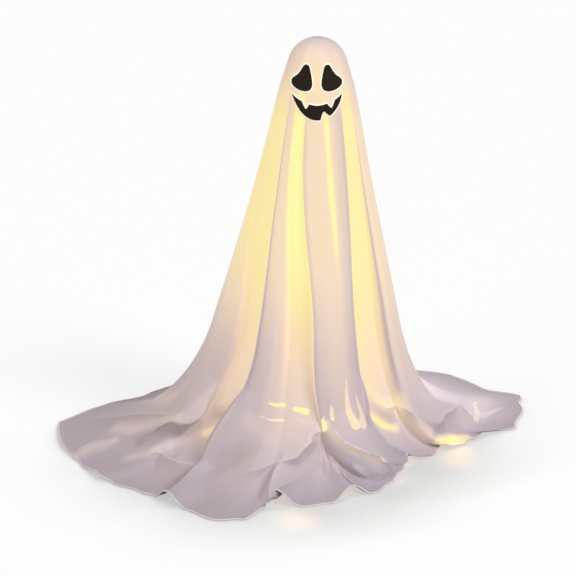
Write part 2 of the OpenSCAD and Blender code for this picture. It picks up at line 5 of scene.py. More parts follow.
import bpy
import numpy as np
from bpy.props import FloatProperty, FloatVectorProperty, IntProperty, PointerProperty
from bpy.types import Operator, Panel, PropertyGroup
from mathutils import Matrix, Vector


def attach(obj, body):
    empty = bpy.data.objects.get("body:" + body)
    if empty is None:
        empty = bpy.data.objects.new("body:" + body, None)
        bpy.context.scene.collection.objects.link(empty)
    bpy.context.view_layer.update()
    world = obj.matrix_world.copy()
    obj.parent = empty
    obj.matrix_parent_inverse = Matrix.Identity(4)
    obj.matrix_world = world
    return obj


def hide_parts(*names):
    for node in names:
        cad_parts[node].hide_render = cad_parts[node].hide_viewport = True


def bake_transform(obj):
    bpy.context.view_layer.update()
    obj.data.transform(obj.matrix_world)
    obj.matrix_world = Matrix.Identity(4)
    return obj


bl_info = {
    "name": "Standing Fabric Ghost",
    "version": (1, 0, 0),
    "blender": (4, 5, 0),
    "location": "View3D > Sidebar > Ghost",
    "description": "Makes the cloth cover, the felt face, the lights and the finishes of a standing ghost",
    "category": "Object",
}

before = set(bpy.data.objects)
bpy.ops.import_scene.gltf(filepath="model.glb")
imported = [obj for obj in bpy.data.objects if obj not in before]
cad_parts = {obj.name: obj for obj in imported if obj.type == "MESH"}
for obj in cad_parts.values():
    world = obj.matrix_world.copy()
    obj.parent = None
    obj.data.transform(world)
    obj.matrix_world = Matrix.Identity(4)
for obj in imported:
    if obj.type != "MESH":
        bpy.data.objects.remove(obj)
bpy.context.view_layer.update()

MM = 0.001

# Cover, in millimetres, as in the part's source
CROWN_R = 43.0
GHOST_H = 610.0
KNEE_Z = 200.0
KNEE_R = 130.0
KNEE_LEAN = 17.0
LEAN_POWER = 1.6
SHOULDER = 3.0
SHOULDER_RISE = 40.0
SHOULDER_Z = 380.0
SHOULDER_FALL = 160.0
FOLD_TOP_Z = 540.0
GATHER_Z = 490.0
FLOOR_GAP = 1.2
FOOT_Z = 5.0
# Share of the hem's lift that the cloth has where it meets the floor
FOOT_LIFT = 0.6
LEAN = math.radians(14)
CROWN_Z = GHOST_H - CROWN_R
LEAVE_R = CROWN_R * math.cos(LEAN)
LEAVE_Z = CROWN_Z + CROWN_R * math.sin(LEAN)

# Fold lines, once round from the front through the right:
# azimuth at the knee, depth of the fold there, azimuth at the hem, radius of the hem,
# lift of the hem, sideways swing on the way down, turn towards the head, share of the
# lamps' light that the cloth lets through high up, and the same low down. Doubled folds
# let less through.
FOLD_LINES = (
    (-52, 8, -64, 350, 6, -7, -28, 0.72, 0.30),
    (-50, -9, -60, 339, 0, -7, -26, 0.72, 0.60),
    (-43, -11, -52, 322, 0, -6, -18, 0.78, 0.64),
    (-37, -9, -46.5, 315, 2, -6, -9, 0.80, 0.60),
    (-35, 10, -43, 311, 15, -6, -7.5, 0.50, 0.22),
    (-28.5, 12, -35, 314, 0, -3, -9.5, 0.54, 0.27),
    (-21, 9, -27, 320, 0, -1, -12, 0.56, 0.40),
    (-18, -10, -20, 304, 0, 2, -13, 0.96, 0.52),
    (-10, -10, -16.5, 268, 3, 6, -14, 1.00, 0.56),
    (-6, -9, -13.5, 244, 15, 8, -14.4, 0.98, 0.56),
    (-5.4, -9, -5, 247, 0, 6, -14.4, 0.92, 0.53),
    (-4.8, -9, 4, 237, 0, 5, -14.4, 0.92, 0.53),
    (-4.2, -9, 13, 214, 12, 3, -14.4, 0.92, 0.53),
    (-3.6, -8, 21, 219, 0, 2, -14.4, 0.92, 0.53),
    (-3, -5, 31, 204, 2, 0, -14.4, 0.90, 0.60),
    (-2, 10, 37, 196, 10, 0, -14.5, 0.53, 0.31),
    (11, 13, 46, 182, 10, 0, -3, 0.53, 0.40),
    (24, 12, 56, 158, 20, 0, 8.5, 0.40, 0.26),
    (27, -9, 61, 172, 6, 0, 9, 0.82, 0.70),
    (36, -12, 67, 192, 0, 0, 9, 0.84, 0.76),
    (52, -11, 75, 193, 6, 0, 3, 0.78, 0.70),
    (56, 8, 79, 227, 4, 0, 0, 0.52, 0.42),
    (70, 12, 90, 254, 2, 0, 0, 0.52, 0.40),
    (86, 9, 94.5, 309, 0, 0, 0, 0.46, 0.34),
    (104, -11, 109, 345, 0, 0, 0, 0.80, 0.55),
    (115, -4, 114, 363, 0, 0, 0, 0.66, 0.45),
    (125, 9, 121, 322, 4, 0, 0, 0.40, 0.24),
    (137, 2, 136, 328, 0, 0, 0, 0.56, 0.34),
    (150, -10, 149, 300, 3, 0, 0, 0.92, 0.66),
    (164, 4, 164, 290, 12, 0, 0, 0.54, 0.34),
    (178, 10, 179, 302, 0, 0, 0, 0.44, 0.26),
    (194, -9, 194, 282, 4, 0, 0, 0.94, 0.68),
    (210, 8, 210, 288, 12, 0, 0, 0.46, 0.28),
    (226, 2, 226, 296, 0, 0, 0, 0.54, 0.34),
    (241, -10, 242, 310, 0, 0, 0, 0.90, 0.62),
    (254, 1, 255, 348, 7, 0, -6, 0.58, 0.32),
    (264, 3, 264.5, 398, 2, 0, -10, 0.52, 0.26),
    (280, 4, 276, 384, 4, -4, -18, 0.60, 0.28),
    (294, 9, 287, 362, 0, -7, -24, 0.70, 0.30),
)
# Columns of the fold lines that are used by name
AZIMUTH, HEM_AZIMUTH, HEM_R, TURN, HIGH_LIGHT, LOW_LIGHT = 0, 2, 3, 6, 7, 8
# Values that run evenly from one fold line to the next
EVEN_COLUMNS = (AZIMUTH, HEM_AZIMUTH, TURN)
# The hem's radius runs evenly only at the pointed corner on the left
CORNER_LINES = range(34, 38)
# Shares of light, which change from one fold line to the next this many times as fast
LIGHT_COLUMNS = (HIGH_LIGHT, LOW_LIGHT)
LIGHT_STEP = 1.8
# Fold lines at the back, which need fewer columns, and the fewest columns elsewhere
BACK_LINES = range(25, 36)
LEAST_COLUMNS = 8

# Places on the cloth are given by fold line and by the way down: -1 at the top, 0 where
# the cloth leaves the head, 1 at the knee, 2 at the hem. Widths and reaches are in
# millimetres. A span runs from the way down where something starts to where it is full.

# Light on the cloth from the ring lamp and the light string: way down and level
LAMP_LEVELS = (
    (-1.0, 0.12), (-0.7, 0.34), (-0.3, 0.56), (0.0, 0.66), (0.1, 0.80), (0.22, 1.0), (0.78, 1.0),
    (1.0, 0.88), (1.15, 0.78), (1.30, 0.62), (1.45, 0.42), (1.60, 0.22), (1.75, 0.09), (2.0, 0.0),
)
# Colour of the lamps' light through the cloth: level and colour
LAMP_COLOURS = (
    (0.0, "#000000"), (0.15, "#6F615D"), (0.3, "#A28E7C"), (0.5, "#CEB590"), (0.75, "#E2D086"),
    (1.0, "#E7E795"),
)
# Where the share of light low down takes over from the one high up
LOW_SPAN = (0.55, 1.25)
# The head has its own share, most at the front and the back, nearest the ring lamp's gaps
HEAD_SPAN = (0.18, 0.04)
HEAD_SHARE = 0.8
HEAD_LEAST = 0.48
HEAD_FACING = 0.44
# A single layer lets more lamplight through, painted as a narrow bright stripe down the front
# panel: its fold line at the top and how far it moves on the way down, and its half width at
# the top, taper and least half width
STRIPE_LINE = 16.06
STRIPE_MOVE = 0.3
STRIPE_HALF = 0.24
STRIPE_TAPER = 0.13
STRIPE_LEAST = 0.08
STRIPE_LIGHT = 0.95
STRIPE_SPANS = ((0.1, 0.2), (0.95, 0.55))
# Folded edges down the skirt: painted highlights and painted shade lines run along them, and the
# cloth lets less light through where it lies double: fold line, half width in fold lines, and
# how much the cloth's tone and the light through it rise or fall there
FOLDED_EDGES = (
    (3.86, 0.2, 0.26, 0.05),
    (4.15, 0.22, -0.06, -0.45),
    (15.05, 0.12, -0.08, -0.25),
    (16.75, 0.4, -0.04, 0),
    (16.96, 0.12, -0.08, -0.30),
    (20.8, 0.3, -0.02, -0.55),
    (21.3, 0.3, 0.05, 0.05),
)
FOLDED_SPANS = ((0.12, 0.27), (1.35, 1.15))
# Spots of light where a lamp touches the cloth: level, and route with half widths
LAMP_SPOTS = (
    (0.85, ((5.8, 1.235, 1.8), (6.9, 1.26, 3.6))),
    (0.66, ((5.4, 1.295, 0.8), (6.9, 1.33, 2.8))),
    (0.90, ((7.5, 1.28, 3.5), (8.2, 1.295, 5))),
    (0.58, ((15.5, 1.265, 2.5), (15.4, 1.33, 3.5))),
    (0.56, ((16.32, 1.14, 1.4), (16.22, 1.22, 3), (16.15, 1.3, 5), (16.2, 1.38, 8))),
    (0.46, ((16.55, 1.2, 1.2), (16.6, 1.3, 2.5), (16.5, 1.41, 5))),
    (1.00, ((15.1, 1.31, 0.5), (14.9, 1.37, 6.5))),
    (0.85, ((17.9, 1.36, 2), (18.9, 1.45, 6), (19.5, 1.52, 2))),
    (1.00, ((21.1, 1.74, 3), (21.35, 1.79, 5.5), (21.45, 1.85, 3.5))),
    (0.24, ((24.6, 1.79, 2), (23.8, 1.78, 5), (23.2, 1.77, 5))),
    (0.17, ((23.5, 1.8, 7), (23.8, 1.86, 5), (24, 1.93, 1))),
)
# Half of the soft edge of a spot
SPOT_EDGE = 1.4
# Pools of light further from a lamp: level, reach on the left and on the right of the route,
# and route
LAMP_POOLS = (
    (0.60, 44, 4, ((18.4, 1.22), (19.2, 1.32), (19.5, 1.37), (20.2, 1.385))),
    (0.34, 24, 46, ((20.3, 1.42), (20.8, 1.52), (21.1, 1.62))),
    (0.55, 20, 16, ((18.2, 1.37), (18.9, 1.45), (19.5, 1.52))),
    (0.70, 16, 16, ((21, 1.74), (21.4, 1.79), (21.7, 1.9))),
    (0.46, 20, 20, ((1.8, 1.48), (3.4, 1.36))),
    (0.36, 2, 22, ((15.2, 1.34), (15.3, 1.41), (15.4, 1.48), (15.8, 1.56), (16.1, 1.68))),
    (0.22, 18, 18, ((37.7, 2), (37.5, 1.9), (37.4, 1.78))),
    (0.24, 40, 40, ((5.1, 1.32), (6.3, 1.37), (7.4, 1.43))),
    (0.12, 50, 40, ((22.5, 1.65), (24.5, 1.84))),
    (0.20, 28, 28, ((0, 1.45), (-1.1, 1.57), (-2.1, 1.74))),
    (0.21, 45, 45, ((36.2, 1.5), (37.1, 1.42), (37.4, 1.28))),
    (0.20, 24, 24, ((1.4, 1.55), (0.4, 1.63), (-0.4, 1.79))),
)
# Steps from one point of a route to the next
ROUTE_STEPS = 4
# Creases near the floor: height, width on the left and on the right of someone who walks
# along it on the cloth, how much painted shade darkens the cloth under its edge, and route
CREASES = (
    # Edge of the left panel, turned over where it meets the floor
    (20, 12, 55, 1.0, (
        (0.25, 1.22), (0.3, 1.31), (0.4, 1.36), (0.3, 1.42), (0, 1.49), (-0.3, 1.56), (-0.6, 1.62),
        (-1.3, 1.7),
    )),
    (8, 22, 21, 0.3, ((-3.3, 1.9), (-2.3, 1.66), (-1.2, 1.51), (-0.2, 1.43))),
    (-5, 18, 18, 0.2, ((-1.2, 1.66), (-0.7, 1.72))),
    (9, 20, 18, 0.3, ((-1.4, 1.99), (-1.7, 1.81))),
    # Pocket and ripples in the valley next to it
    (-9, 12, 12, 0.7, ((1.1, 1.39), (2, 1.36), (3.5, 1.3))),
    (9, 25, 24, 0.4, ((-0.1, 1.97), (0.2, 1.74), (0.5, 1.69), (1.7, 1.72), (2.6, 1.7), (3.9, 1.68))),
    (-5, 10, 10, 0.4, ((1.1, 1.67), (1.6, 1.68))),
    # Left edge of the next panel, the arch at the hem and the dip beside it
    (10, 42, 12, 0.3, ((4, 1.2), (4, 1.35), (4, 1.5), (4, 1.65))),
    (8, 30, 14, 0.4, ((4, 1.65), (4, 1.8), (4, 1.98))),
    (-9, 18, 18, 0.4, ((6, 1.43), (5.4, 1.49), (4.8, 1.56), (4.5, 1.68), (4.6, 1.84))),
    # Lower edge of the bright valley and the ridge from it to the hem
    (13, 11, 42, 0.7, (
        (14.8, 1.32), (8.9, 1.42), (8.5, 1.46), (7.9, 1.5), (7.6, 1.55), (6.7, 1.57), (5.5, 1.63),
    )),
    (13, 34, 14, 0.5, ((7.3, 1.48), (7.2, 1.56), (7.1, 1.64), (7.3, 1.79), (8, 1.98))),
    # The pinched panel in the middle and its rays
    (9, 16, 18, 0.4, ((11.4, 1.55), (12, 1.63), (13, 1.77), (13, 1.95))),
    (8, 15, 14, 0.3, ((15.1, 1.62), (14.3, 1.85))),
    # Lower left edge of the front panel, and its right edge
    (14, 50, 36, 0.8, (
        (15.2, 1.34), (15.3, 1.41), (15.4, 1.48), (15.8, 1.56), (16.1, 1.68), (15.4, 1.9), (14.7, 1.99),
    )),
    (7, 14, 18, 0.2, ((17.1, 1.15), (16.9, 1.28), (16.7, 1.38), (16.8, 1.5))),
    (-3, 8, 8, 0.5, ((17.2, 1.27), (18.9, 1.36), (19.4, 1.45), (19.7, 1.52))),
    # Folds on the right
    (4, 30, 18, 0.15, ((19.2, 1.32), (19.5, 1.38), (20.6, 1.39), (20.9, 1.44), (21.1, 1.53), (21.4, 1.62))),
    (18, 28, 26, 0.5, ((21.4, 1.62), (21.8, 1.57), (22.6, 1.57), (23.9, 1.68))),
    (12, 16, 14, 0.5, ((23.9, 1.68), (23.2, 1.68), (23.2, 1.76))),
)
# How a crease runs out at its ends: below 1 it starts steeply
CREASE_TAPER = 0.8
# Reach of the shade under a crease, and how far the shades of two creases blend where they meet
SHADE_REACH = 24.0
SHADE_MEET = 6.0
# Shade across a crease: distance from its edge, negative under it, and share of the light left
EDGE_SHADE = ((-20, 1.0), (-10, 0.88), (-2, 0.72), (-0.5, 0.66), (0.5, 1.14), (2.5, 1.09), (6, 1.0))
# The cloth is darker away from the lamps, and a painted highlight makes it pale at the very edge of its hem
DARKER = 0.11
DARKER_SPAN = (1.6, 1.9)
HEM_HIGHLIGHT = 0.16
HEM_EDGE = 0.02
# Its far side takes light from behind, as the floor does: middle of that side, how far a
# place has to be turned towards it, and the rise and fall on the way down
FAR_PALER = 0.55
FAR_AZIMUTH = math.radians(178)
FAR_TURNED = (-0.03, 0.37)
FAR_SPANS = ((1.2, 1.45), (2.15, 1.75))
# Near the floor the lamps' warm light is painted into its colour, most where it is turned to the left
WARM_SPAN = (1.1, 1.5)
WARM_LEVEL = 0.12
WARM_TO_LEFT = 0.6

# Face outlines seen from the front, in millimetres: corner x, z and pull point x, z
FACE_X = -1.6
EYE = (
    (-15.5, 578, -11.5, 577.5), (-10.5, 568.7, -8.2, 560), (-8, 552.5, -8.5, 543.3),
    (-17, 542.7, -25, 542.2), (-32, 546.5, -37, 549.8), (-36.5, 554, -36.5, 558),
    (-30, 562.2, -25.5, 565.5), (-21, 574.2, -18.5, 578.5),
)
MOUTH = (
    (-36.3, 538, -30.3, 532.2), (-22.3, 529, -20.8, 523.6), (-17, 518.7, -14.3, 520.7),
    (-12.3, 525.5, -0.3, 521.6), (12.2, 526.5, 14.7, 523.6), (18.5, 519.7, 21.2, 522.6),
    (23.2, 530.8, 28.7, 533.2), (33.2, 538, 31.2, 520.7), (16.7, 509.6, 12.7, 512),
    (8.7, 516, 5.7, 515.4), (3.7, 504.3, -22.3, 500),
)
# Steps along each curve of an outline, and spacing of the points when a rim is grown from it
CURVE_STEPS = 8
RIM_STEP = 0.0004
# Spacing of the cuts that let a face piece bend, and the fewest of them
CUT_STEP = 0.003
LEAST_CUTS = 4
# Room between backing and felt, and what is left on the flat piece round a cut shape
FELT_GAP = 0.00005

# Wires, in millimetres, along the routes in the part's source
LEAD_IN = (
    (24, -28, 27), (14, -26, 27), (6, -22, 27.5), (1.5, -19, 29), (0, -18, 32),
    (0, -18, 36), (0, -18, 44), (0, -16, 50), (0, -13, 56),
)
WINDING_R = 8.75
WINDING_Z = (66, 296)
WINDING_TURNS = 8
TURN_STEPS = 60
# Length in which the two strands of the light wire go once round each other
TWIST = 7.0
BATTERY_LEADS = tuple(
    (
        (29.5, 24 + 4 * k, 25), (32.5, 24 + 4 * k, 25), (35.5 + 2.4 * k, 20, 25), (37.5 + 2.4 * k, 8, 25),
        (38.5 + 2.4 * k, -8, 26), (38.5 + 2.4 * k, -18, 26.5), (38.5 + 2.4 * k, -24, 26),
        (38.5 + 2.4 * k, -28, 25.4),
    )
    for k in (0, 1)
)

# Nodes of the stand that share a finish
DARK_PLASTIC = (
    "slide_bush tube_plug clamp_collar lock_knob base_shell base_plate battery_tray battery_lid"
    " switch_knob wire_grommet"
)
PLATED_STEEL = (
    "hub_screw pole_bolt pole_washer base_screws contact_plates contact_springs lid_hinge_pin switch_body"
)

# Lamplight inside the skirt, and where it falls on the floor from under the hem: kind of
# light, place and share
SPILLS = (
    ("POINT", (0.0, -0.03, 0.16), 1.0),
    ("SPOT", (0.213, -0.056, 0.03), 0.06),
    ("SPOT", (0.206, -0.092, 0.04), 0.07),
    ("SPOT", (-0.03, -0.286, 0.04), 0.07),
)


def linear(code):
    """Turns an sRGB hex colour into linear red, green and blue."""
    parts = [int(code[i : i + 2], 16) / 255 for i in (1, 3, 5)]
    return tuple(c / 12.92 if c <= 0.04045 else ((c + 0.055) / 1.055) ** 2.4 for c in parts)


def a_colour(name, description, code):
    """A colour that the user may change, set by its sRGB hex value."""
    return FloatVectorProperty(
        name=name, description=description, default=linear(code), min=0, max=1, size=3, subtype="COLOR"
    )


def a_length(name, description, metres):
    """A length that the user may change."""
    return FloatProperty(name=name, description=description, default=metres, min=0, unit="LENGTH")


def a_level(name, description, amount):
    """An amount that the user may change."""
    return FloatProperty(name=name, description=description, default=amount, min=0)


def a_count(name, description, amount, least):
    """A count that the user may change."""
    return IntProperty(name=name, description=description, default=amount, min=least)


class CoverSettings(PropertyGroup):
    """Sizes and colours of the cloth cover"""

    column_width: a_length("Column width", "Width of a column of faces at the front", 0.0032)
    back_columns: a_count("Back columns", "Columns from one fold line to the next at the back", 4, 2)
    dome_rows: a_count("Head rows", "Rows of faces over the head", 7, 3)
    slope_rows: a_count("Skirt rows", "Rows of faces down the skirt", 22, 8)
    turn_rows: a_count("Floor rows", "Rows of faces from the knee to the hem", 100, 8)
    thickness: a_length("Thickness", "Thickness of the cloth", 0.0008)
    hem_radius: a_length("Hem", "Radius of the rolled hem", 0.0012)
    cut_radius: a_length("Cut radius", "Radius of the half circle it is cut from", 0.775)
    colour: a_colour("Cloth", "Unlit cloth", "#BCAFBA")
    # Colour of the painted warm lamplight on the cloth near the floor
    warm_colour: a_colour("Warm cloth", "Cloth that takes on the colour of the lamps", "#C8B3AA")
    # The hem's pale colour is partly that of doubled cloth and partly a painted highlight
    hem_colour: a_colour("Hem", "Rolled hem", "#E2D8DC")
    lit_colour: a_colour("Lit cloth", "What cloth reflects where lamps shine through it", "#807764")


class FaceSettings(PropertyGroup):
    """Sizes and colours of the face"""

    rim: a_length("Rim", "White rim round each felt shape", 0.0018)
    gap: a_length("Gap", "Room between cloth and backing", 0.0006)
    backing: a_length("Backing", "Thickness of the backing", 0.0005)
    felt: a_length("Felt", "Thickness of the felt", 0.0008)
    felt_colour: a_colour("Felt", "Colour of the felt", "#2A2118")
    backing_colour: a_colour("Backing", "Colour of the backing", "#FBF6EA")
    backing_glow: a_level("Backing glow", "Lamplight through the backing", 0.4)


class StandSettings(PropertyGroup):
    """Sizes and colours of the stand and its wiring"""

    strand: a_length("Strand", "Radius of one strand", 0.00032)
    lead: a_length("Lead", "Radius of a battery lead", 0.0007)
    shell_colour: a_colour("Base", "Plastic of the base and the clamp", "#33343A")
    head_colour: a_colour("Head", "Plastic of the head", "#EDECE6")
    lamp_colour: a_colour("Lamp", "Light of the lamps", "#FFD98A")


class StageSettings(PropertyGroup):
    """Camera, floor and light"""

    distance: a_length("Distance", "Camera to aim point", 2.4)
    elevation: FloatProperty(
        name="Elevation", description="Camera above the horizon", default=math.radians(19), subtype="ANGLE"
    )
    aim: FloatVectorProperty(
        name="Aim", description="Point the camera looks at", default=(-0.0417, 0, 0.236),
        subtype="TRANSLATION",
    )
    lens: a_level("Lens", "Focal length in millimetres", 101.3)
    floor_colour: a_colour("Floor", "Colour of the floor", "#848483")
    floor_lift: a_level("Floor lift", "How much the floor is whitened for the camera", 0.79)
    shaded_lift: a_level("Shaded lift", "The same close in front of the cloth", 0.5)
    shade_reach: a_length("Shade reach", "How far from the cloth the floor is shaded", 0.16)
    ambient: a_level("Ambient", "Light from all round", 0.31)
    key: a_level("Key", "Strength of the soft key light", 2.0)
    fill: a_level("Fill", "Strength of the fill light", 1.1)
    spill: a_level("Spill", "Warm light under the hem, in watts", 0.9)
    spill_colour: a_colour("Spill", "Colour of that light", "#FFC766")


def add_node(tree, kind, inputs=None, output=0, **settings):
    """Adds a shader node and returns its output; an input is a value or the output that feeds it."""
    node = tree.nodes.new("ShaderNode" + kind)
    for name, value in settings.items():
        setattr(node, name, value)
    for name, value in (inputs or {}).items():
        if isinstance(value, bpy.types.NodeSocket):
            tree.links.new(value, node.inputs[name])
        else:
            node.inputs[name].default_value = value
    return node.outputs[output]


def set_stops(colours, stops):
    """Gives the colour ramp behind an output its stops: position and linear colour."""
    elements = colours.node.color_ramp.elements
    elements.remove(elements[-1])
    for i, (position, colour) in enumerate(stops):
        stop = elements[0] if i == 0 else elements.new(position)
        stop.position = position
        stop.color = (*colour, 1)


def new_finish(name, colour, roughness, sockets=None):
    """A material with its shader's constants set; returns it, its tree and the shader."""
    finish = bpy.data.materials.new(name)
    finish.use_nodes = True
    shader = finish.node_tree.nodes["Principled BSDF"]
    shader.inputs["Base Color"].default_value = (*colour, 1)
    shader.inputs["Roughness"].default_value = roughness
    for socket, value in (sockets or {}).items():
        shader.inputs[socket].default_value = value
    return finish, finish.node_tree, shader


def grained_finish(name, colour, roughness, grain_mm, spread, bump_mm, sockets=None, stretch=(1, 1, 1)):
    """A finish with a grain that varies its colour and roughness by spread and stands out by bump_mm."""
    finish, tree, shader = new_finish(name, colour, roughness, sockets)
    place = add_node(tree, "TexCoord", output="Object")
    place = add_node(tree, "Mapping", {"Vector": place, "Scale": stretch})
    noise = {"Vector": place, "Scale": 1 / (grain_mm * MM), "Detail": 3.0}
    grain = add_node(tree, "TexNoise", noise, "Fac")
    tones = add_node(tree, "ValToRGB", {"Fac": grain})
    dark, pale = ([min(1, c * (1 + side * spread)) for c in colour] for side in (-1, 1))
    set_stops(tones, ((0.3, dark), (0.7, pale)))
    ends = {"To Min": roughness - 0.5 * spread, "To Max": roughness + 0.5 * spread}
    gloss = add_node(tree, "MapRange", {"Value": grain, **ends})
    relief = add_node(tree, "Bump", {"Height": grain, "Strength": 0.6, "Distance": bump_mm * MM})
    for socket, source in (("Base Color", tones), ("Roughness", gloss), ("Normal", relief)):
        tree.links.new(source, shader.inputs[socket])
    return finish


def woven_relief(tree):
    """Direction of the cloth's surface with its threads and its slack."""
    cut = add_node(tree, "UVMap", uv_map="cut")
    # Threads are 0.3 mm apart; they are drawn at 1.2 mm so that a close view shows them
    thread = 1.2 * MM
    wave_period = math.pi / 10
    threads = {"Vector": cut, "Scale": wave_period / thread, "Distortion": 0.6, "Detail": 1.0}
    warp, weft = (add_node(tree, "TexWave", threads, "Fac", bands_direction=axis) for axis in "XY")
    weave = add_node(tree, "Math", {0: warp, 1: weft}, operation="MAXIMUM")
    # Slack in the cloth, about 45 mm across, turns its surface very slightly
    slack = add_node(tree, "TexNoise", {"Vector": cut, "Scale": 1 / (45 * MM), "Detail": 2.0}, "Fac")
    slack = add_node(tree, "Bump", {"Height": slack, "Strength": 0.25, "Distance": 2 * MM})
    relief = {"Height": weave, "Strength": 0.12, "Distance": 0.15 * MM, "Normal": slack}
    return add_node(tree, "Bump", relief)


def polyester_voile(cover):
    """Polyester voile, woven: a thin soft cloth with a faint shine; lamps behind it show as warm light."""
    sockets = {"Sheen Weight": 0.18, "Sheen Roughness": 0.45, "Specular IOR Level": 0.25}
    sockets["Emission Strength"] = 1.0
    finish, tree, shader = new_finish("polyester_voile", cover.colour, 0.62, sockets)
    names = ("glow", "painted_warm_light", "tone", "crease_gap", "crease_shade", "spot_gap", "spot_level")
    painted = {name: add_node(tree, "Attribute", output="Fac", attribute_name=name) for name in names}
    across = {"Value": painted["spot_gap"], "From Min": SPOT_EDGE, "From Max": -SPOT_EDGE}
    spot = add_node(tree, "MapRange", across, interpolation_type="SMOOTHSTEP")
    spot = add_node(tree, "Math", {0: spot, 1: painted["spot_level"]}, operation="MULTIPLY")
    glow = add_node(tree, "Math", {0: painted["glow"], 1: spot}, operation="MAXIMUM")
    # The cloth's own colour, with painted warm lamplight and painted light through it mixed in
    own = (*cover.colour, 1)
    for share, colour in ((painted["painted_warm_light"], cover.warm_colour), (glow, cover.lit_colour)):
        mixed = {"Factor": share, "A": own, "B": (*colour, 1)}
        own = add_node(tree, "Mix", mixed, "Result", data_type="RGBA")
    through = add_node(tree, "ValToRGB", {"Fac": glow})
    set_stops(through, [(level, linear(code)) for level, code in LAMP_COLOURS])
    # Edges of folds catch the light, and the cloth under them lies in their shade
    across = {"Value": painted["crease_gap"], "From Min": -SHADE_REACH, "From Max": SHADE_REACH}
    shade = add_node(tree, "ValToRGB", {"Fac": add_node(tree, "MapRange", across)})
    set_stops(shade, [(0.5 + mm / (2 * SHADE_REACH), (grey,) * 3) for mm, grey in EDGE_SHADE])
    shaded = {"Factor": painted["crease_shade"], "A": 1.0, "B": shade}
    folded = add_node(tree, "Mix", shaded, "Result", data_type="FLOAT")
    tone = add_node(tree, "Math", {0: painted["tone"], 1: folded}, operation="MULTIPLY")
    for socket, colour in (("Base Color", own), ("Emission Color", through)):
        toned = add_node(tree, "VectorMath", {"Vector": colour, "Scale": tone}, operation="SCALE")
        tree.links.new(toned, shader.inputs[socket])
    tree.links.new(woven_relief(tree), shader.inputs["Normal"])
    return finish


def voile_hem(colour):
    """The same voile rolled up tight at its edge: paler, partly because it lies many times over and partly
    as a painted highlight along the hem.
    """
    return grained_finish("voile_hem", colour, 0.6, 1.2, 0.06, 0.1, {"Sheen Weight": 0.18})


def needled_felt(name, colour, glow=0.0):
    """Needled polyester felt: matte, with a short nap; a pale one lets some lamplight through."""
    sockets = {"Sheen Weight": 0.12, "Specular IOR Level": 0.1, "Emission Strength": glow}
    sockets["Emission Color"] = (*linear("#FFF0D2"), 1)
    return grained_finish(name, colour, 0.92, 1.6, 0.12, 0.25, sockets)


def moulded_abs(name, colour):
    """ABS, injection moulded in a spark-eroded tool: even colour with a fine matte grain."""
    return grained_finish(name, colour, 0.5, 0.9, 0.06, 0.04, {"IOR": 1.53})


def drawn_steel(name, code, roughness, stretch):
    """Steel, drawn or turned and then zinc plated: bright metal with fine lines along the work."""
    return grained_finish(name, linear(code), roughness, 1.2, 0.10, 0.01, {"Metallic": 1.0}, stretch)


def cast_iron():
    """Grey iron, as cast: dark, dull metal with a sandy skin."""
    return grained_finish("cast_iron", linear("#6A6A6C"), 0.7, 2.2, 0.22, 0.2, {"Metallic": 0.85})


def foam_rubber():
    """Closed-cell foam rubber: black and dull, with fine open pores on its cut face."""
    dull = {"Specular IOR Level": 0.2}
    return grained_finish("foam_rubber", linear("#2B2B2C"), 0.9, 1.0, 0.25, 0.3, dull)


def lacquered_cell():
    """Steel cell can in a lacquered sleeve: smooth and slightly glossy, with faint cloudy tones."""
    return grained_finish("lacquered_cell", linear("#9A9CA2"), 0.3, 6.0, 0.08, 0.01, {"Coat Weight": 0.4})


def solder_resist():
    """Glass-fibre board under green solder resist: glossy, with the weave faintly showing."""
    return grained_finish("solder_resist", linear("#2E7A4C"), 0.35, 1.5, 0.14, 0.02, {"Coat Weight": 0.3})


def pvc_sheath(name, code, transmission=0.0):
    """Soft PVC, extruded over wire: smooth with a soft shine."""
    return grained_finish(name, linear(code), 0.38, 4.0, 0.06, 0.01, {"Transmission Weight": transmission})


def frosted_lamp(stand):
    """Polycarbonate, moulded and frosted, lit from inside: milky and evenly bright."""
    sockets = {"Emission Strength": 1.6, "Emission Color": (*stand.lamp_colour, 1)}
    return grained_finish("frosted_lamp", linear("#FFF1CF"), 0.55, 2.0, 0.04, 0.03, sockets)


def ease(t):
    """A slow start and a slow stop between 0 and 1."""
    return (1 - np.cos(np.pi * np.clip(t, 0, 1))) / 2


def ramp(value, start, full):
    """Rises from 0 at start to 1 at full, which may be the smaller one."""
    return ease((value - start) / (full - start))


def within(value, rise, fall):
    """1 between a span where it rises and a span where it falls."""
    return ramp(value, *rise) * ramp(value, *fall)


def unit(vectors):
    """The vectors at length 1."""
    return vectors / np.linalg.norm(vectors, axis=-1)[..., None]


def at_azimuth(azimuth, radius, height):
    """Points at an azimuth from the front, a radius from the pole and a height."""
    places = np.broadcast_arrays(radius * np.sin(azimuth), -radius * np.cos(azimuth), height)
    return np.stack(places, axis=-1)


def fold_columns(cover):
    """Every column's place among the fold lines and its fold values; the first comes again at the end."""
    folds = np.array(FOLD_LINES, float)
    once_round = np.zeros(folds.shape[1])
    once_round[[AZIMUTH, HEM_AZIMUTH]] = 360
    ahead = np.vstack([folds[1:], folds[:1] + once_round])
    at_knee, at_hem = (np.radians((ahead - folds)[:, column]) for column in (AZIMUTH, HEM_AZIMUTH))
    runs = MM * np.maximum(KNEE_R * at_knee, folds[:, HEM_R] * at_hem)
    counts = np.maximum(np.round(runs / cover.column_width), LEAST_COLUMNS)
    counts[list(BACK_LINES)] = cover.back_columns
    line = np.concatenate([i + np.arange(n) / n for i, n in enumerate(counts)] + [[len(folds)]])
    i = np.minimum(line.astype(int), len(folds) - 1)
    even = (line - i)[:, None]
    share = np.repeat(ease(even), folds.shape[1], axis=1)
    share[:, EVEN_COLUMNS] = even
    corner = np.isin(i, CORNER_LINES)
    share[corner, HEM_R] = even[corner, 0]
    share[:, LIGHT_COLUMNS] = ease(0.5 + LIGHT_STEP * (even - 0.5))
    return line, folds[i] + (ahead - folds)[i] * share


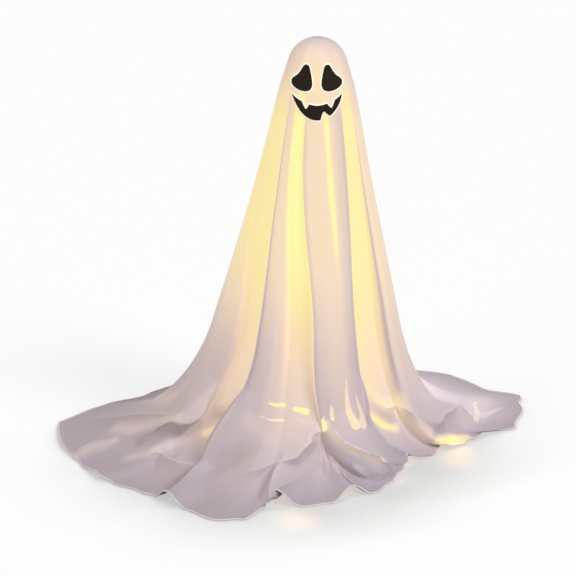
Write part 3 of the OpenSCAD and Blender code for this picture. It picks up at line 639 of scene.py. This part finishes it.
def smooth_radius(azimuth, z):
    """Radius of the cover without its folds, below the head."""
    t = np.maximum(LEAVE_Z - z, 0) / (LEAVE_Z - KNEE_Z)
    fuller = SHOULDER * ease((LEAVE_Z - z) / SHOULDER_RISE) * ease((z - SHOULDER_Z) / SHOULDER_FALL)
    return LEAVE_R + (KNEE_R - LEAVE_R) * t - KNEE_LEAN * np.sin(azimuth) * t**LEAN_POWER + fuller


def hang(cover, values):
    """Points of the cover without its creases, row by row from the top, and the way down of each row."""
    azimuth, depth, hem_azimuth, hem_r, lift, swing, turn = values.T[:HIGH_LIGHT]
    azimuth, hem_azimuth, swing, turn = (np.radians(v) for v in (azimuth, hem_azimuth, swing, turn))
    rows = [at_azimuth(azimuth, 0, GHOST_H)]
    places = [-1.0]
    for k in range(1, cover.dome_rows + 1):
        a = math.pi / 2 + (LEAN - math.pi / 2) * k / cover.dome_rows
        rows.append(at_azimuth(azimuth + turn, CROWN_R * math.cos(a), CROWN_Z + CROWN_R * math.sin(a)))
        places.append(k / cover.dome_rows - 1)
    for k in range(1, cover.slope_rows + 1):
        z = LEAVE_Z + (KNEE_Z - LEAVE_Z) * k / cover.slope_rows
        turned = azimuth + turn * ramp(z, KNEE_Z, GATHER_Z)
        opened = 2 * ease((FOLD_TOP_Z - z) / (FOLD_TOP_Z - KNEE_Z) / 2)
        rows.append(at_azimuth(turned, smooth_radius(turned, z) + depth * opened, z))
        places.append(k / cover.slope_rows)
    knee_r = smooth_radius(azimuth, KNEE_Z) + depth
    slope = (KNEE_R - KNEE_LEAN * np.sin(azimuth) - LEAVE_R) / (LEAVE_Z - KNEE_Z)
    foot_h = FLOOR_GAP + FOOT_Z + FOOT_LIFT * lift
    foot_r = knee_r + slope * (KNEE_Z - foot_h)
    for k in range(1, cover.turn_rows + 1):
        u = k / cover.turn_rows
        knee, foot, hem = (1 - u) ** 2, 2 * u * (1 - u), u * u
        r = knee * knee_r + foot * foot_r + hem * hem_r
        z = knee * KNEE_Z + foot * foot_h + hem * (FLOOR_GAP + lift)
        swung = azimuth + (hem_azimuth - azimuth) * u * u + swing * math.sin(math.pi * u) ** 2
        rows.append(at_azimuth(swung, r, z))
        places.append(1 + u)
    return np.array(rows), np.array(places)


def outward(points):
    """Outward directions on the cover's grid of points."""
    ring = points[:, :-1]
    across = np.roll(ring, -1, axis=1) - np.roll(ring, 1, axis=1)
    normals = np.cross(np.gradient(ring, axis=0), across)
    normals /= np.maximum(np.linalg.norm(normals, axis=2), 1e-6)[..., None]
    return np.concatenate([normals, normals[:, :1]], axis=1)


def smooth_route(points, per_span):
    """A smooth line through points, as a Catmull-Rom spline."""
    p = np.array(points, float)
    p = np.vstack([2 * p[0] - p[1], p, 2 * p[-1] - p[-2]])
    t = (np.arange(per_span) / per_span)[:, None]
    spans = [
        (2 * b + (c - a) * t + (2 * a - 5 * b + 4 * c - d) * t**2 + (3 * b - a - 3 * c + d) * t**3) / 2
        for a, b, c, d in zip(p[:-3], p[1:-2], p[2:-1], p[3:])
    ]
    return np.vstack([*spans, p[-2:-1]])


def on_cloth(points, places, line, route):
    """Points on the cloth along a smooth curve through a route given by fold line and way down."""
    path = smooth_route(np.array(route)[:, :2], ROUTE_STEPS)
    column = np.interp(path[:, 0] % len(FOLD_LINES), line, np.arange(len(line)))
    row = np.interp(path[:, 1], places, np.arange(len(places)))
    j, i = (np.minimum(place.astype(int), n - 2) for place, n in ((column, len(line)), (row, len(places))))
    across, down = (column - j)[:, None], (row - i)[:, None]
    upper, lower = (points[k, j] * (1 - across) + points[k, j + 1] * across for k in (i, i + 1))
    return upper * (1 - down) + lower * down


def beside(points, places, line, route):
    """Distance of every point from a route, whether it lies on its left, and how many points along it."""
    normals = outward(points)
    route = on_cloth(points, places, line, route)
    nearest = np.full(points.shape[:-1], np.inf)
    on_left = np.zeros(points.shape[:-1], bool)
    along = np.zeros(points.shape[:-1])
    for i, (a, b) in enumerate(zip(route, route[1:])):
        run = b - a
        t = np.clip((points - a) @ run / (run @ run), 0, 1)
        away = points - a - t[..., None] * run
        distance = np.linalg.norm(away, axis=-1)
        closer = distance < nearest
        on_left = np.where(closer, np.einsum("...i,...i", np.cross(normals, run), away) > 0, on_left)
        along = np.where(closer, (i + t) / ROUTE_STEPS, along)
        nearest = np.minimum(distance, nearest)
    return nearest, on_left, along


def crease(points, places, line):
    """Points of the cover with its creases, and how far each lies from an edge and in its shade."""
    normals = outward(points)
    ridges, valleys, edge, shadow = np.zeros((4, *points.shape[:-1]))
    above, under = np.full((2, *points.shape[:-1]), SHADE_REACH)
    for height, left, right, shade, route in CREASES:
        distance, on_left, along = beside(points, places, line, route)
        width = np.where(on_left, left, right)
        share = np.sin(np.pi * np.clip(along / (len(route) - 1), 0, 1)) ** CREASE_TAPER
        risen = height * share * np.clip(1 - distance / width, 0, 1)
        ridges, valleys = np.maximum(ridges, risen), np.minimum(valleys, risen)
        # The steep side of a ridge and all of a valley lie under the edge, in painted shade; the other side
        # gets a painted highlight along the edge
        steep = width == min(left, right)
        for nearest, strength, here, most in ((under, shadow, steep, shade), (above, edge, ~steep, 1)):
            closer = here & (distance < nearest)
            nearest[closer] = distance[closer]
            strength[closer] = most * share[closer]
    gap = np.where(under < above, -under, above)
    depth = np.where(under < above, shadow, edge) * np.clip(np.abs(under - above) / SHADE_MEET, 0, 1)
    creased = points + normals * (ridges + valleys)[..., None]
    creased[..., 2] = np.maximum(creased[..., 2], FLOOR_GAP)
    return creased, {"crease_gap": gap, "crease_shade": depth}


def folded_edges(places, line):
    """How much the tone and light rise or fall along the folded edges down the skirt, as painted highlights
    and painted shade lines.
    """
    on_skirt = within(places[:, None], *FOLDED_SPANS)
    changes = np.zeros((2, len(places), len(line)))
    for middle, half_width, *change in FOLDED_EDGES:
        share = on_skirt * np.clip(1 - np.abs(line - middle) / half_width, 0, 1)
        changes += np.array(change)[:, None, None] * share
    return changes


def cloth_tone(places, values):
    """How pale or dark painted light and shade make the cloth at each place, 1 for its own colour."""
    down = places[:, None]
    # Painted shade away from the lamps, and a painted highlight at the hem's edge
    darker = DARKER * ramp(down, *DARKER_SPAN) - HEM_HIGHLIGHT * np.clip((down - 2) / HEM_EDGE + 1, 0, 1)
    turned = ramp(np.cos(np.radians(values[:, HEM_AZIMUTH]) - FAR_AZIMUTH), *FAR_TURNED)
    return 1 - darker + FAR_PALER * turned * within(down, *FAR_SPANS)


def lamplight(points, places, line, values, edge_change):
    """Share of the lamps' full light that shows on each point of the cover, and where its spots are."""
    down = places[:, None]
    level = np.interp(places, *np.array(LAMP_LEVELS).T)[:, None]
    lower = ramp(down, *LOW_SPAN)
    head = HEAD_SHARE * ramp(down, *HEAD_SPAN)
    facing = HEAD_LEAST + HEAD_FACING * np.cos(np.radians(values[:, AZIMUTH] + values[:, TURN])) ** 2
    skirt = values[:, HIGH_LIGHT] * (1 - lower) + values[:, LOW_LIGHT] * lower
    through = skirt * (1 - head) + facing * head
    off_stripe = np.abs(line - STRIPE_LINE - STRIPE_MOVE * down)
    stripe = np.clip(1 - off_stripe / np.maximum(STRIPE_HALF - STRIPE_TAPER * down, STRIPE_LEAST), 0, 1)
    through = np.maximum(through, STRIPE_LIGHT * ease(2 * stripe) * within(down, *STRIPE_SPANS))
    glow = through * level * (1 + edge_change)
    for bright, left, right, route in LAMP_POOLS:
        distance, on_left, _ = beside(points, places, line, route)
        glow = np.maximum(glow, bright * ease(1 - distance / np.where(on_left, left, right)))
    gap = np.full(points.shape[:-1], SHADE_REACH)
    spot = np.zeros(points.shape[:-1])
    for bright, route in LAMP_SPOTS:
        distance, _, along = beside(points, places, line, route)
        distance = distance - np.interp(along, np.arange(len(route)), np.array(route)[:, 2])
        spot = np.where(distance < gap, bright, spot)
        gap = np.minimum(distance, gap)
    return {"glow": glow, "spot_gap": gap, "spot_level": spot}


def painted_warm_light(points, places):
    """How much painted warm lamplight is mixed into the cloth's colour."""
    turned = np.clip(WARM_LEVEL - WARM_TO_LEFT * outward(points)[..., 0], 0, 1)
    return ramp(places, *WARM_SPAN)[:, None] * turned


def new_piece(name, finish):
    """Names the object that was just added and gives it its finish and slot."""
    piece = bpy.context.object
    piece.name = piece.data.name = name
    piece.data.materials.clear()
    piece.data.materials.append(finish)
    return piece


def apply_modifier(piece, name, kind, **settings):
    """Adds a modifier with its settings and applies it."""
    modifier = piece.modifiers.new(name, kind)
    for setting, value in settings.items():
        setattr(modifier, setting, value)
    bpy.context.view_layer.objects.active = piece
    bpy.ops.object.modifier_apply(modifier=name)


def close_mesh():
    """Merges the doubles of the active mesh and turns its faces outwards."""
    bpy.ops.object.mode_set(mode="EDIT")
    bpy.ops.mesh.select_all(action="SELECT")
    bpy.ops.mesh.remove_doubles(threshold=0.01 * MM)
    bpy.ops.mesh.normals_make_consistent(inside=False)
    bpy.ops.object.mode_set(mode="OBJECT")


def move_points(piece, places):
    """Puts the points of a piece's mesh at places given in metres."""
    piece.data.vertices.foreach_set("co", places.astype(np.float32).ravel())


def add_round(places, radius, resolution, closed=False):
    """Adds a round wire along places given in metres, as a mesh."""
    bpy.ops.curve.primitive_nurbs_path_add()
    path = bpy.context.object.data
    path.splines.clear()
    spline = path.splines.new("POLY")
    spline.points.add(len(places) - 1)
    for point, place in zip(spline.points, places):
        point.co = (*place, 1)
    spline.use_cyclic_u = closed
    path.bevel_depth = radius
    path.bevel_resolution = resolution
    path.use_fill_caps = not closed
    bpy.ops.object.convert(target="MESH")


class GHOST_OT_drape_cover(Operator):
    """Drapes the cloth cover over the head and lets it run out over the floor"""

    bl_idname = "ghost.drape_cover"
    bl_label = "Drape cover"

    def execute(self, context):
        cover = context.scene.ghost_cover
        line, values = fold_columns(cover)
        hung, places = hang(cover, values)
        points, painted = crease(hung, places, line)
        tone_change, light_change = folded_edges(places, line)
        painted["tone"] = cloth_tone(places, values) + tone_change
        painted.update(lamplight(points, places, line, values, light_change))
        painted["painted_warm_light"] = painted_warm_light(points, places)
        last_row, last_column = points.shape[0] - 1, points.shape[1] - 1
        bpy.ops.mesh.primitive_grid_add(x_subdivisions=last_column, y_subdivisions=last_row, size=2)
        sheet = new_piece("cloth_cover", polyester_voile(cover))
        flat = np.array([v.co for v in sheet.data.vertices])
        column = np.rint((flat[:, 0] + 1) / 2 * last_column).astype(int)
        row = np.rint((flat[:, 1] + 1) / 2 * last_row).astype(int)
        move_points(sheet, points[row, column] * MM)
        for name, level in painted.items():
            attribute = sheet.data.attributes.new(name, "FLOAT", "POINT")
            attribute.data.foreach_set("value", level[row, column].astype(np.float32))
        self.lay_cut(sheet, points, row, column)
        close_mesh()
        bpy.ops.object.shade_smooth()
        apply_modifier(
            sheet, "thickness", "SOLIDIFY", thickness=cover.thickness, offset=-1, use_even_offset=False
        )
        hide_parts("ghost_sheet")
        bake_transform(sheet)
        hem = self.roll_hem(cover, points[-1, :-1] * MM)
        return {"FINISHED"}

    def lay_cut(self, sheet, points, row, column):
        """Maps the cloth to its cut, a half circle: the way down the cloth is its radius."""
        down = np.linalg.norm(np.diff(points, axis=0), axis=2).mean(axis=1)
        radius = np.concatenate([[0], np.cumsum(down)]) * MM
        corners = np.array([loop.vertex_index for loop in sheet.data.loops])
        angle = np.pi * column[corners] / column.max()
        spread = radius[row[corners]][:, None] * np.stack([np.cos(angle), np.sin(angle)], axis=1)
        sheet.data.uv_layers[0].name = "cut"
        sheet.data.uv_layers["cut"].uv.foreach_set("vector", spread.astype(np.float32).ravel())

    def roll_hem(self, cover, edge):
        """Runs a thin rolled hem along the edge of the cloth."""
        edge[:, 2] = np.maximum(cover.hem_radius, edge[:, 2] - cover.thickness / 2)
        add_round(edge, cover.hem_radius, 1, closed=True)
        hem = new_piece("rolled_hem", voile_hem(cover.hem_colour))
        bpy.ops.object.shade_smooth()
        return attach(hem, "base")


def curved_outline(pairs):
    """Closed outline of quadratic curves from corners and pull points, in metres."""
    corners = np.array(pairs, float)
    ahead = np.roll(corners[:, :2], -1, axis=0)
    t = np.arange(CURVE_STEPS)[None, :, None] / CURVE_STEPS
    a, c, b = corners[:, None, :2], corners[:, None, 2:], ahead[:, None]
    return ((1 - t) ** 2 * a + 2 * t * (1 - t) * c + t * t * b).reshape(-1, 2) * MM


def grown_outline(outline, rim):
    """The outline moved outwards by a rim, without the loops that form in inner corners."""
    dense = []
    for a, b in zip(outline, np.roll(outline, -1, axis=0)):
        n = max(1, round(float(np.linalg.norm(b - a)) / RIM_STEP))
        dense.append(a + (b - a) * np.arange(n)[:, None] / n)
    dense = np.vstack(dense)
    along = np.roll(dense, -1, axis=0) - np.roll(dense, 1, axis=0)
    x, z = dense.T
    side = np.sign(np.sum(x * np.roll(z, -1) - np.roll(x, -1) * z))
    moved = dense + side * rim * unit(np.stack([along[:, 1], -along[:, 0]], axis=1))
    nearest = np.array([np.min(np.linalg.norm(dense - p, axis=1)) for p in moved])
    # Points in a loop lie nearer to the outline than the rim; every second one of the rest is enough
    return moved[nearest > 0.97 * rim][::2]


def on_face(x, z, off):
    """Points that far off the smooth upper part of the cover, in front of a place x, z."""
    x, z, off = (np.asarray(v) / MM for v in (x, z, off))
    azimuth = np.zeros_like(x)
    dome = np.sqrt(np.maximum(CROWN_R**2 - (z - CROWN_Z) ** 2, 1))
    # The radius depends on the azimuth a little, so the two are found in turn
    for _ in range(6):
        radius = np.where(z > LEAVE_Z, dome, smooth_radius(azimuth, z)) + off
        azimuth = np.arcsin(np.clip(x / radius, -0.98, 0.98))
    return at_azimuth(azimuth, radius, z) * MM


class GHOST_OT_cut_face(Operator):
    """Cuts the felt eyes and mouth and their white backings and lays them on the cover"""

    bl_idname = "ghost.cut_face"
    bl_label = "Cut face"

    def execute(self, context):
        face = context.scene.ghost_face
        felt = needled_felt("black_felt", face.felt_colour)
        interfacing = needled_felt("white_interfacing", face.backing_colour, face.backing_glow)
        eye, mouth = curved_outline(EYE), curved_outline(MOUTH)
        turned_over = np.array([2 * FACE_X * MM, 0]) + eye * [-1, 1]
        shapes = {"left_eye": eye, "right_eye": turned_over, "mouth": mouth}
        felt_off = face.gap + face.backing + FELT_GAP
        for node, outline in shapes.items():
            rim = grown_outline(outline, face.rim)
            backing = f"{node}_backing"
            self.lay(f"{node}_rim", backing, rim, face.gap, face.backing, interfacing, "white_backing")
            self.lay(f"{node}_felt", node, outline, felt_off, face.felt, felt, "black_felt")
        return {"FINISHED"}

    def lay(self, name, node, outline, off, thickness, finish, slot):
        """Fills an outline, bends it round the face and gives it its thickness."""
        bpy.ops.mesh.primitive_circle_add(vertices=len(outline), radius=1, fill_type="NGON")
        piece = new_piece(name, finish)
        for vertex, (x, z) in zip(piece.data.vertices, outline):
            vertex.co = (x, 0, z)
        low, high = outline.min(axis=0), outline.max(axis=0)
        bpy.ops.object.mode_set(mode="EDIT")
        bpy.ops.mesh.select_all(action="SELECT")
        bpy.ops.mesh.quads_convert_to_tris()
        for axis, normal in ((0, (1, 0, 0)), (1, (0, 0, 1))):
            cuts = max(LEAST_CUTS, round((high[axis] - low[axis]) / CUT_STEP))
            for place in np.linspace(low[axis], high[axis], cuts + 1)[1:-1]:
                bpy.ops.mesh.select_all(action="SELECT")
                bpy.ops.mesh.bisect(plane_co=tuple(place * c for c in normal), plane_no=normal)
        bpy.ops.object.mode_set(mode="OBJECT")
        flat = np.array([v.co for v in piece.data.vertices])
        move_points(piece, on_face(flat[:, 0], flat[:, 2], off))
        close_mesh()
        if sum(p.normal.y * p.area for p in piece.data.polygons) > 0:
            piece.data.flip_normals()
        apply_modifier(piece, "thickness", "SOLIDIFY", thickness=thickness, offset=1)
        apply_modifier(
            piece, "soft_edge", "BEVEL", width=0.25 * thickness, segments=2, limit_method="ANGLE",
            angle_limit=math.radians(60),
        )
        bpy.ops.object.shade_smooth_by_angle(angle=math.radians(50))
        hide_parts(node)
        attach(piece, "mast")
        size = np.ptp(on_face(outline[:, 0], outline[:, 1], off), axis=0)


def draw_wires(name, lines, radius, finishes):
    """One piece of round wires along lines given in millimetres, each with its finish."""
    made = []
    for line, finish in zip(lines, finishes):
        add_round(line * MM, radius, 2)
        made.append(new_piece(f"{name}_{len(made)}", finish))
        bpy.ops.object.shade_smooth()
    for wire in made:
        wire.select_set(True)
    bpy.context.view_layer.objects.active = made[0]
    bpy.ops.object.join()
    made[0].name = made[0].data.name = name
    return made[0]


class GHOST_OT_wind_lights(Operator):
    """Winds the twisted light wire round the lower tube"""

    bl_idname = "ghost.wind_lights"
    bl_label = "Wind lights"

    def execute(self, context):
        stand = context.scene.ghost_stand
        turn = np.linspace(0, 1, WINDING_TURNS * TURN_STEPS)
        height = WINDING_Z[0] + (WINDING_Z[1] - WINDING_Z[0]) * turn
        winding = at_azimuth(2 * np.pi * WINDING_TURNS * turn, WINDING_R, height)
        route = np.vstack([smooth_route((*LEAD_IN, tuple(winding[0])), 8)[:-1], winding])
        along = unit(np.gradient(route, axis=0))
        # Any direction that the wire never takes gives it a side
        side = unit(np.cross(along, [0.3, 0.2, 1.0]))
        over = np.cross(along, side)
        length = np.concatenate([[0], np.cumsum(np.linalg.norm(np.diff(route, axis=0), axis=1))])
        strands = []
        for start in (0, np.pi):
            phase = (2 * np.pi * length / TWIST)[:, None] + start
            strands.append(route + stand.strand / MM * (np.cos(phase) * side + np.sin(phase) * over))
        sheath = pvc_sheath("clear_pvc", "#E4E0D2", transmission=0.3)
        string = draw_wires("light_string", strands, stand.strand, [sheath, sheath])
        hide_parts("light_wire")
        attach(string, "base")
        return {"FINISHED"}


class GHOST_OT_lay_leads(Operator):
    """Lays the two battery leads from the bay to the board"""

    bl_idname = "ghost.lay_leads"
    bl_label = "Lay leads"

    def execute(self, context):
        stand = context.scene.ghost_stand
        lines = [smooth_route(points, 6) for points in BATTERY_LEADS]
        finishes = [pvc_sheath("red_pvc", "#B3221F"), pvc_sheath("black_pvc", "#1E1E20")]
        leads = draw_wires("lead_pair", lines, stand.lead, finishes)
        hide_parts("battery_leads")
        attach(leads, "base")
        return {"FINISHED"}


class GHOST_OT_finish_stand(Operator):
    """Gives the solids of the stand their finishes"""

    bl_idname = "ghost.finish_stand"
    bl_label = "Finish stand"

    def execute(self, context):
        stand = context.scene.ghost_stand
        finishes = (
            (moulded_abs("white_abs", stand.head_colour), "head_dome head_hub lamp_cap"),
            (moulded_abs("dark_abs", stand.shell_colour), DARK_PLASTIC),
            (needled_felt("nylon_hook_tape", linear("#E3E2DE")), "crown_pad"),
            (drawn_steel("drawn_steel_tube", "#BFC0C2", 0.3, (1, 1, 0.04)), "upper_tube lower_tube"),
            (drawn_steel("zinc_plated_steel", "#C9CACB", 0.34, (1, 1, 1)), PLATED_STEEL),
            (cast_iron(), "ballast"),
            (foam_rubber(), "foot_pad"),
            (lacquered_cell(), "battery_cells"),
            (solder_resist(), "driver_board lamp_board"),
            (frosted_lamp(stand), "lamp_diffuser led_beads"),
        )
        for finish, nodes in finishes:
            for node in nodes.split():
                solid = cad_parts[node]
                solid.data.materials.clear()
                solid.data.materials.append(finish)
        return {"FINISHED"}


def white_to_camera(tree):
    """1 for what the camera sees, straight, in a reflection or through glass."""
    path = add_node(tree, "LightPath").node.outputs
    seen = path["Is Camera Ray"]
    for ray in ("Is Glossy Ray", "Is Transmission Ray"):
        seen = add_node(tree, "Math", {0: seen, 1: path[ray]}, operation="MAXIMUM")
    return seen


class GHOST_OT_set_stage(Operator):
    """Sets the floor, the light and the camera"""

    bl_idname = "ghost.set_stage"
    bl_label = "Set stage"

    def execute(self, context):
        stage = context.scene.ghost_stage
        self.lay_floor(stage)
        self.light_all_round(context.scene, stage)
        self.add_lamps(context, stage)
        back = Vector((0, -math.cos(stage.elevation), math.sin(stage.elevation)))
        bpy.ops.object.camera_add(location=Vector(stage.aim) + back * stage.distance)
        camera = context.object
        camera.rotation_euler = (-back).to_track_quat("-Z", "Y").to_euler()
        camera.data.lens = stage.lens
        context.scene.camera = camera
        context.scene.view_settings.view_transform = "Standard"
        return {"FINISHED"}

    def lay_floor(self, stage):
        """A matte pale floor that reads white to the camera and keeps soft shadows."""
        bpy.ops.mesh.primitive_plane_add(size=30, location=(0, 0, -0.0004))
        floor = bpy.context.object
        floor.name = "studio_floor"
        dull = {"Specular IOR Level": 0.0}
        finish, tree, shader = new_finish("matte_floor", stage.floor_colour, 1.0, dull)
        # The floor is lit from behind, so it lies in soft shade in front of the cloth
        behind = add_node(tree, "CombineXYZ", {"X": 0.0, "Y": 0.8, "Z": 0.6})
        near = {"Distance": stage.shade_reach, "Normal": behind}
        unshaded = add_node(tree, "AmbientOcclusion", near, "AO", samples=16)
        lifts = {"From Min": 0.7, "To Min": stage.shaded_lift, "To Max": stage.floor_lift}
        level = add_node(tree, "MapRange", {"Value": unshaded, **lifts})
        level = add_node(tree, "Math", {0: white_to_camera(tree), 1: level}, operation="MULTIPLY")
        lift = add_node(tree, "Emission", {"Strength": level})
        both = add_node(tree, "AddShader", {0: shader.outputs[0], 1: lift})
        tree.links.new(both, tree.nodes["Material Output"].inputs["Surface"])
        floor.data.materials.append(finish)

    def light_all_round(self, scene, stage):
        """Even light from all round, which the camera sees as white."""
        scene.world = bpy.data.worlds.new("studio")
        scene.world.use_nodes = True
        tree = scene.world.node_tree
        levels = {"Value": white_to_camera(tree), "To Min": stage.ambient, "To Max": 0.98}
        background = tree.nodes["Background"].inputs
        tree.links.new(add_node(tree, "MapRange", levels), background["Strength"])
        background["Color"].default_value = (1, 1, 1, 1)

    def add_lamps(self, context, stage):
        """A soft key light from the right, a softer fill from the left, and the lamps' spill."""
        suns = ((stage.key, (-0.75, 0.55, -0.75), 25), (stage.fill, (0.85, 0.45, -0.3), 50))
        for strength, towards, spread in suns:
            bpy.ops.object.light_add(type="SUN", location=tuple(-2 * c for c in towards))
            sun = context.object
            sun.data.energy = strength
            sun.data.angle = math.radians(spread)
            sun.rotation_euler = Vector(towards).to_track_quat("-Z", "Y").to_euler()
        for kind, place, share in SPILLS:
            bpy.ops.object.light_add(type=kind, location=place)
            spill = context.object
            spill.data.energy = stage.spill * share
            spill.data.color = stage.spill_colour
            spill.data.shadow_soft_size = 0.006
            spill.visible_camera = False
            if kind == "SPOT":
                spill.data.spot_size = math.radians(110)
                spill.data.spot_blend = 1.0


class GHOST_PT_panel(Panel):
    """Settings and steps of the standing ghost"""

    bl_idname = "GHOST_PT_panel"
    bl_label = "Standing ghost"
    bl_space_type = "VIEW_3D"
    bl_region_type = "UI"
    bl_category = "Ghost"

    def draw(self, context):
        for step in STEPS:
            self.layout.operator(step.bl_idname)
        for group in SETTINGS:
            settings = getattr(context.scene, group)
            for name in settings.__annotations__:
                self.layout.prop(settings, name)


STEPS = (
    GHOST_OT_drape_cover,
    GHOST_OT_cut_face,
    GHOST_OT_wind_lights,
    GHOST_OT_lay_leads,
    GHOST_OT_finish_stand,
    GHOST_OT_set_stage,
)
SETTINGS = {
    "ghost_cover": CoverSettings,
    "ghost_face": FaceSettings,
    "ghost_stand": StandSettings,
    "ghost_stage": StageSettings,
}


def register():
    for group in (*SETTINGS.values(), *STEPS, GHOST_PT_panel):
        bpy.utils.register_class(group)
    for name, group in SETTINGS.items():
        setattr(bpy.types.Scene, name, PointerProperty(type=group))


def unregister():
    for name in SETTINGS:
        delattr(bpy.types.Scene, name)
    for group in (GHOST_PT_panel, *STEPS, *SETTINGS.values()):
        bpy.utils.unregister_class(group)


def main():
    register()
    bpy.ops.ghost.drape_cover()
    bpy.ops.ghost.cut_face()
    bpy.ops.ghost.wind_lights()
    bpy.ops.ghost.lay_leads()
    bpy.ops.ghost.finish_stand()
    bpy.ops.ghost.set_stage()


if __name__ == "__main__":
    main()
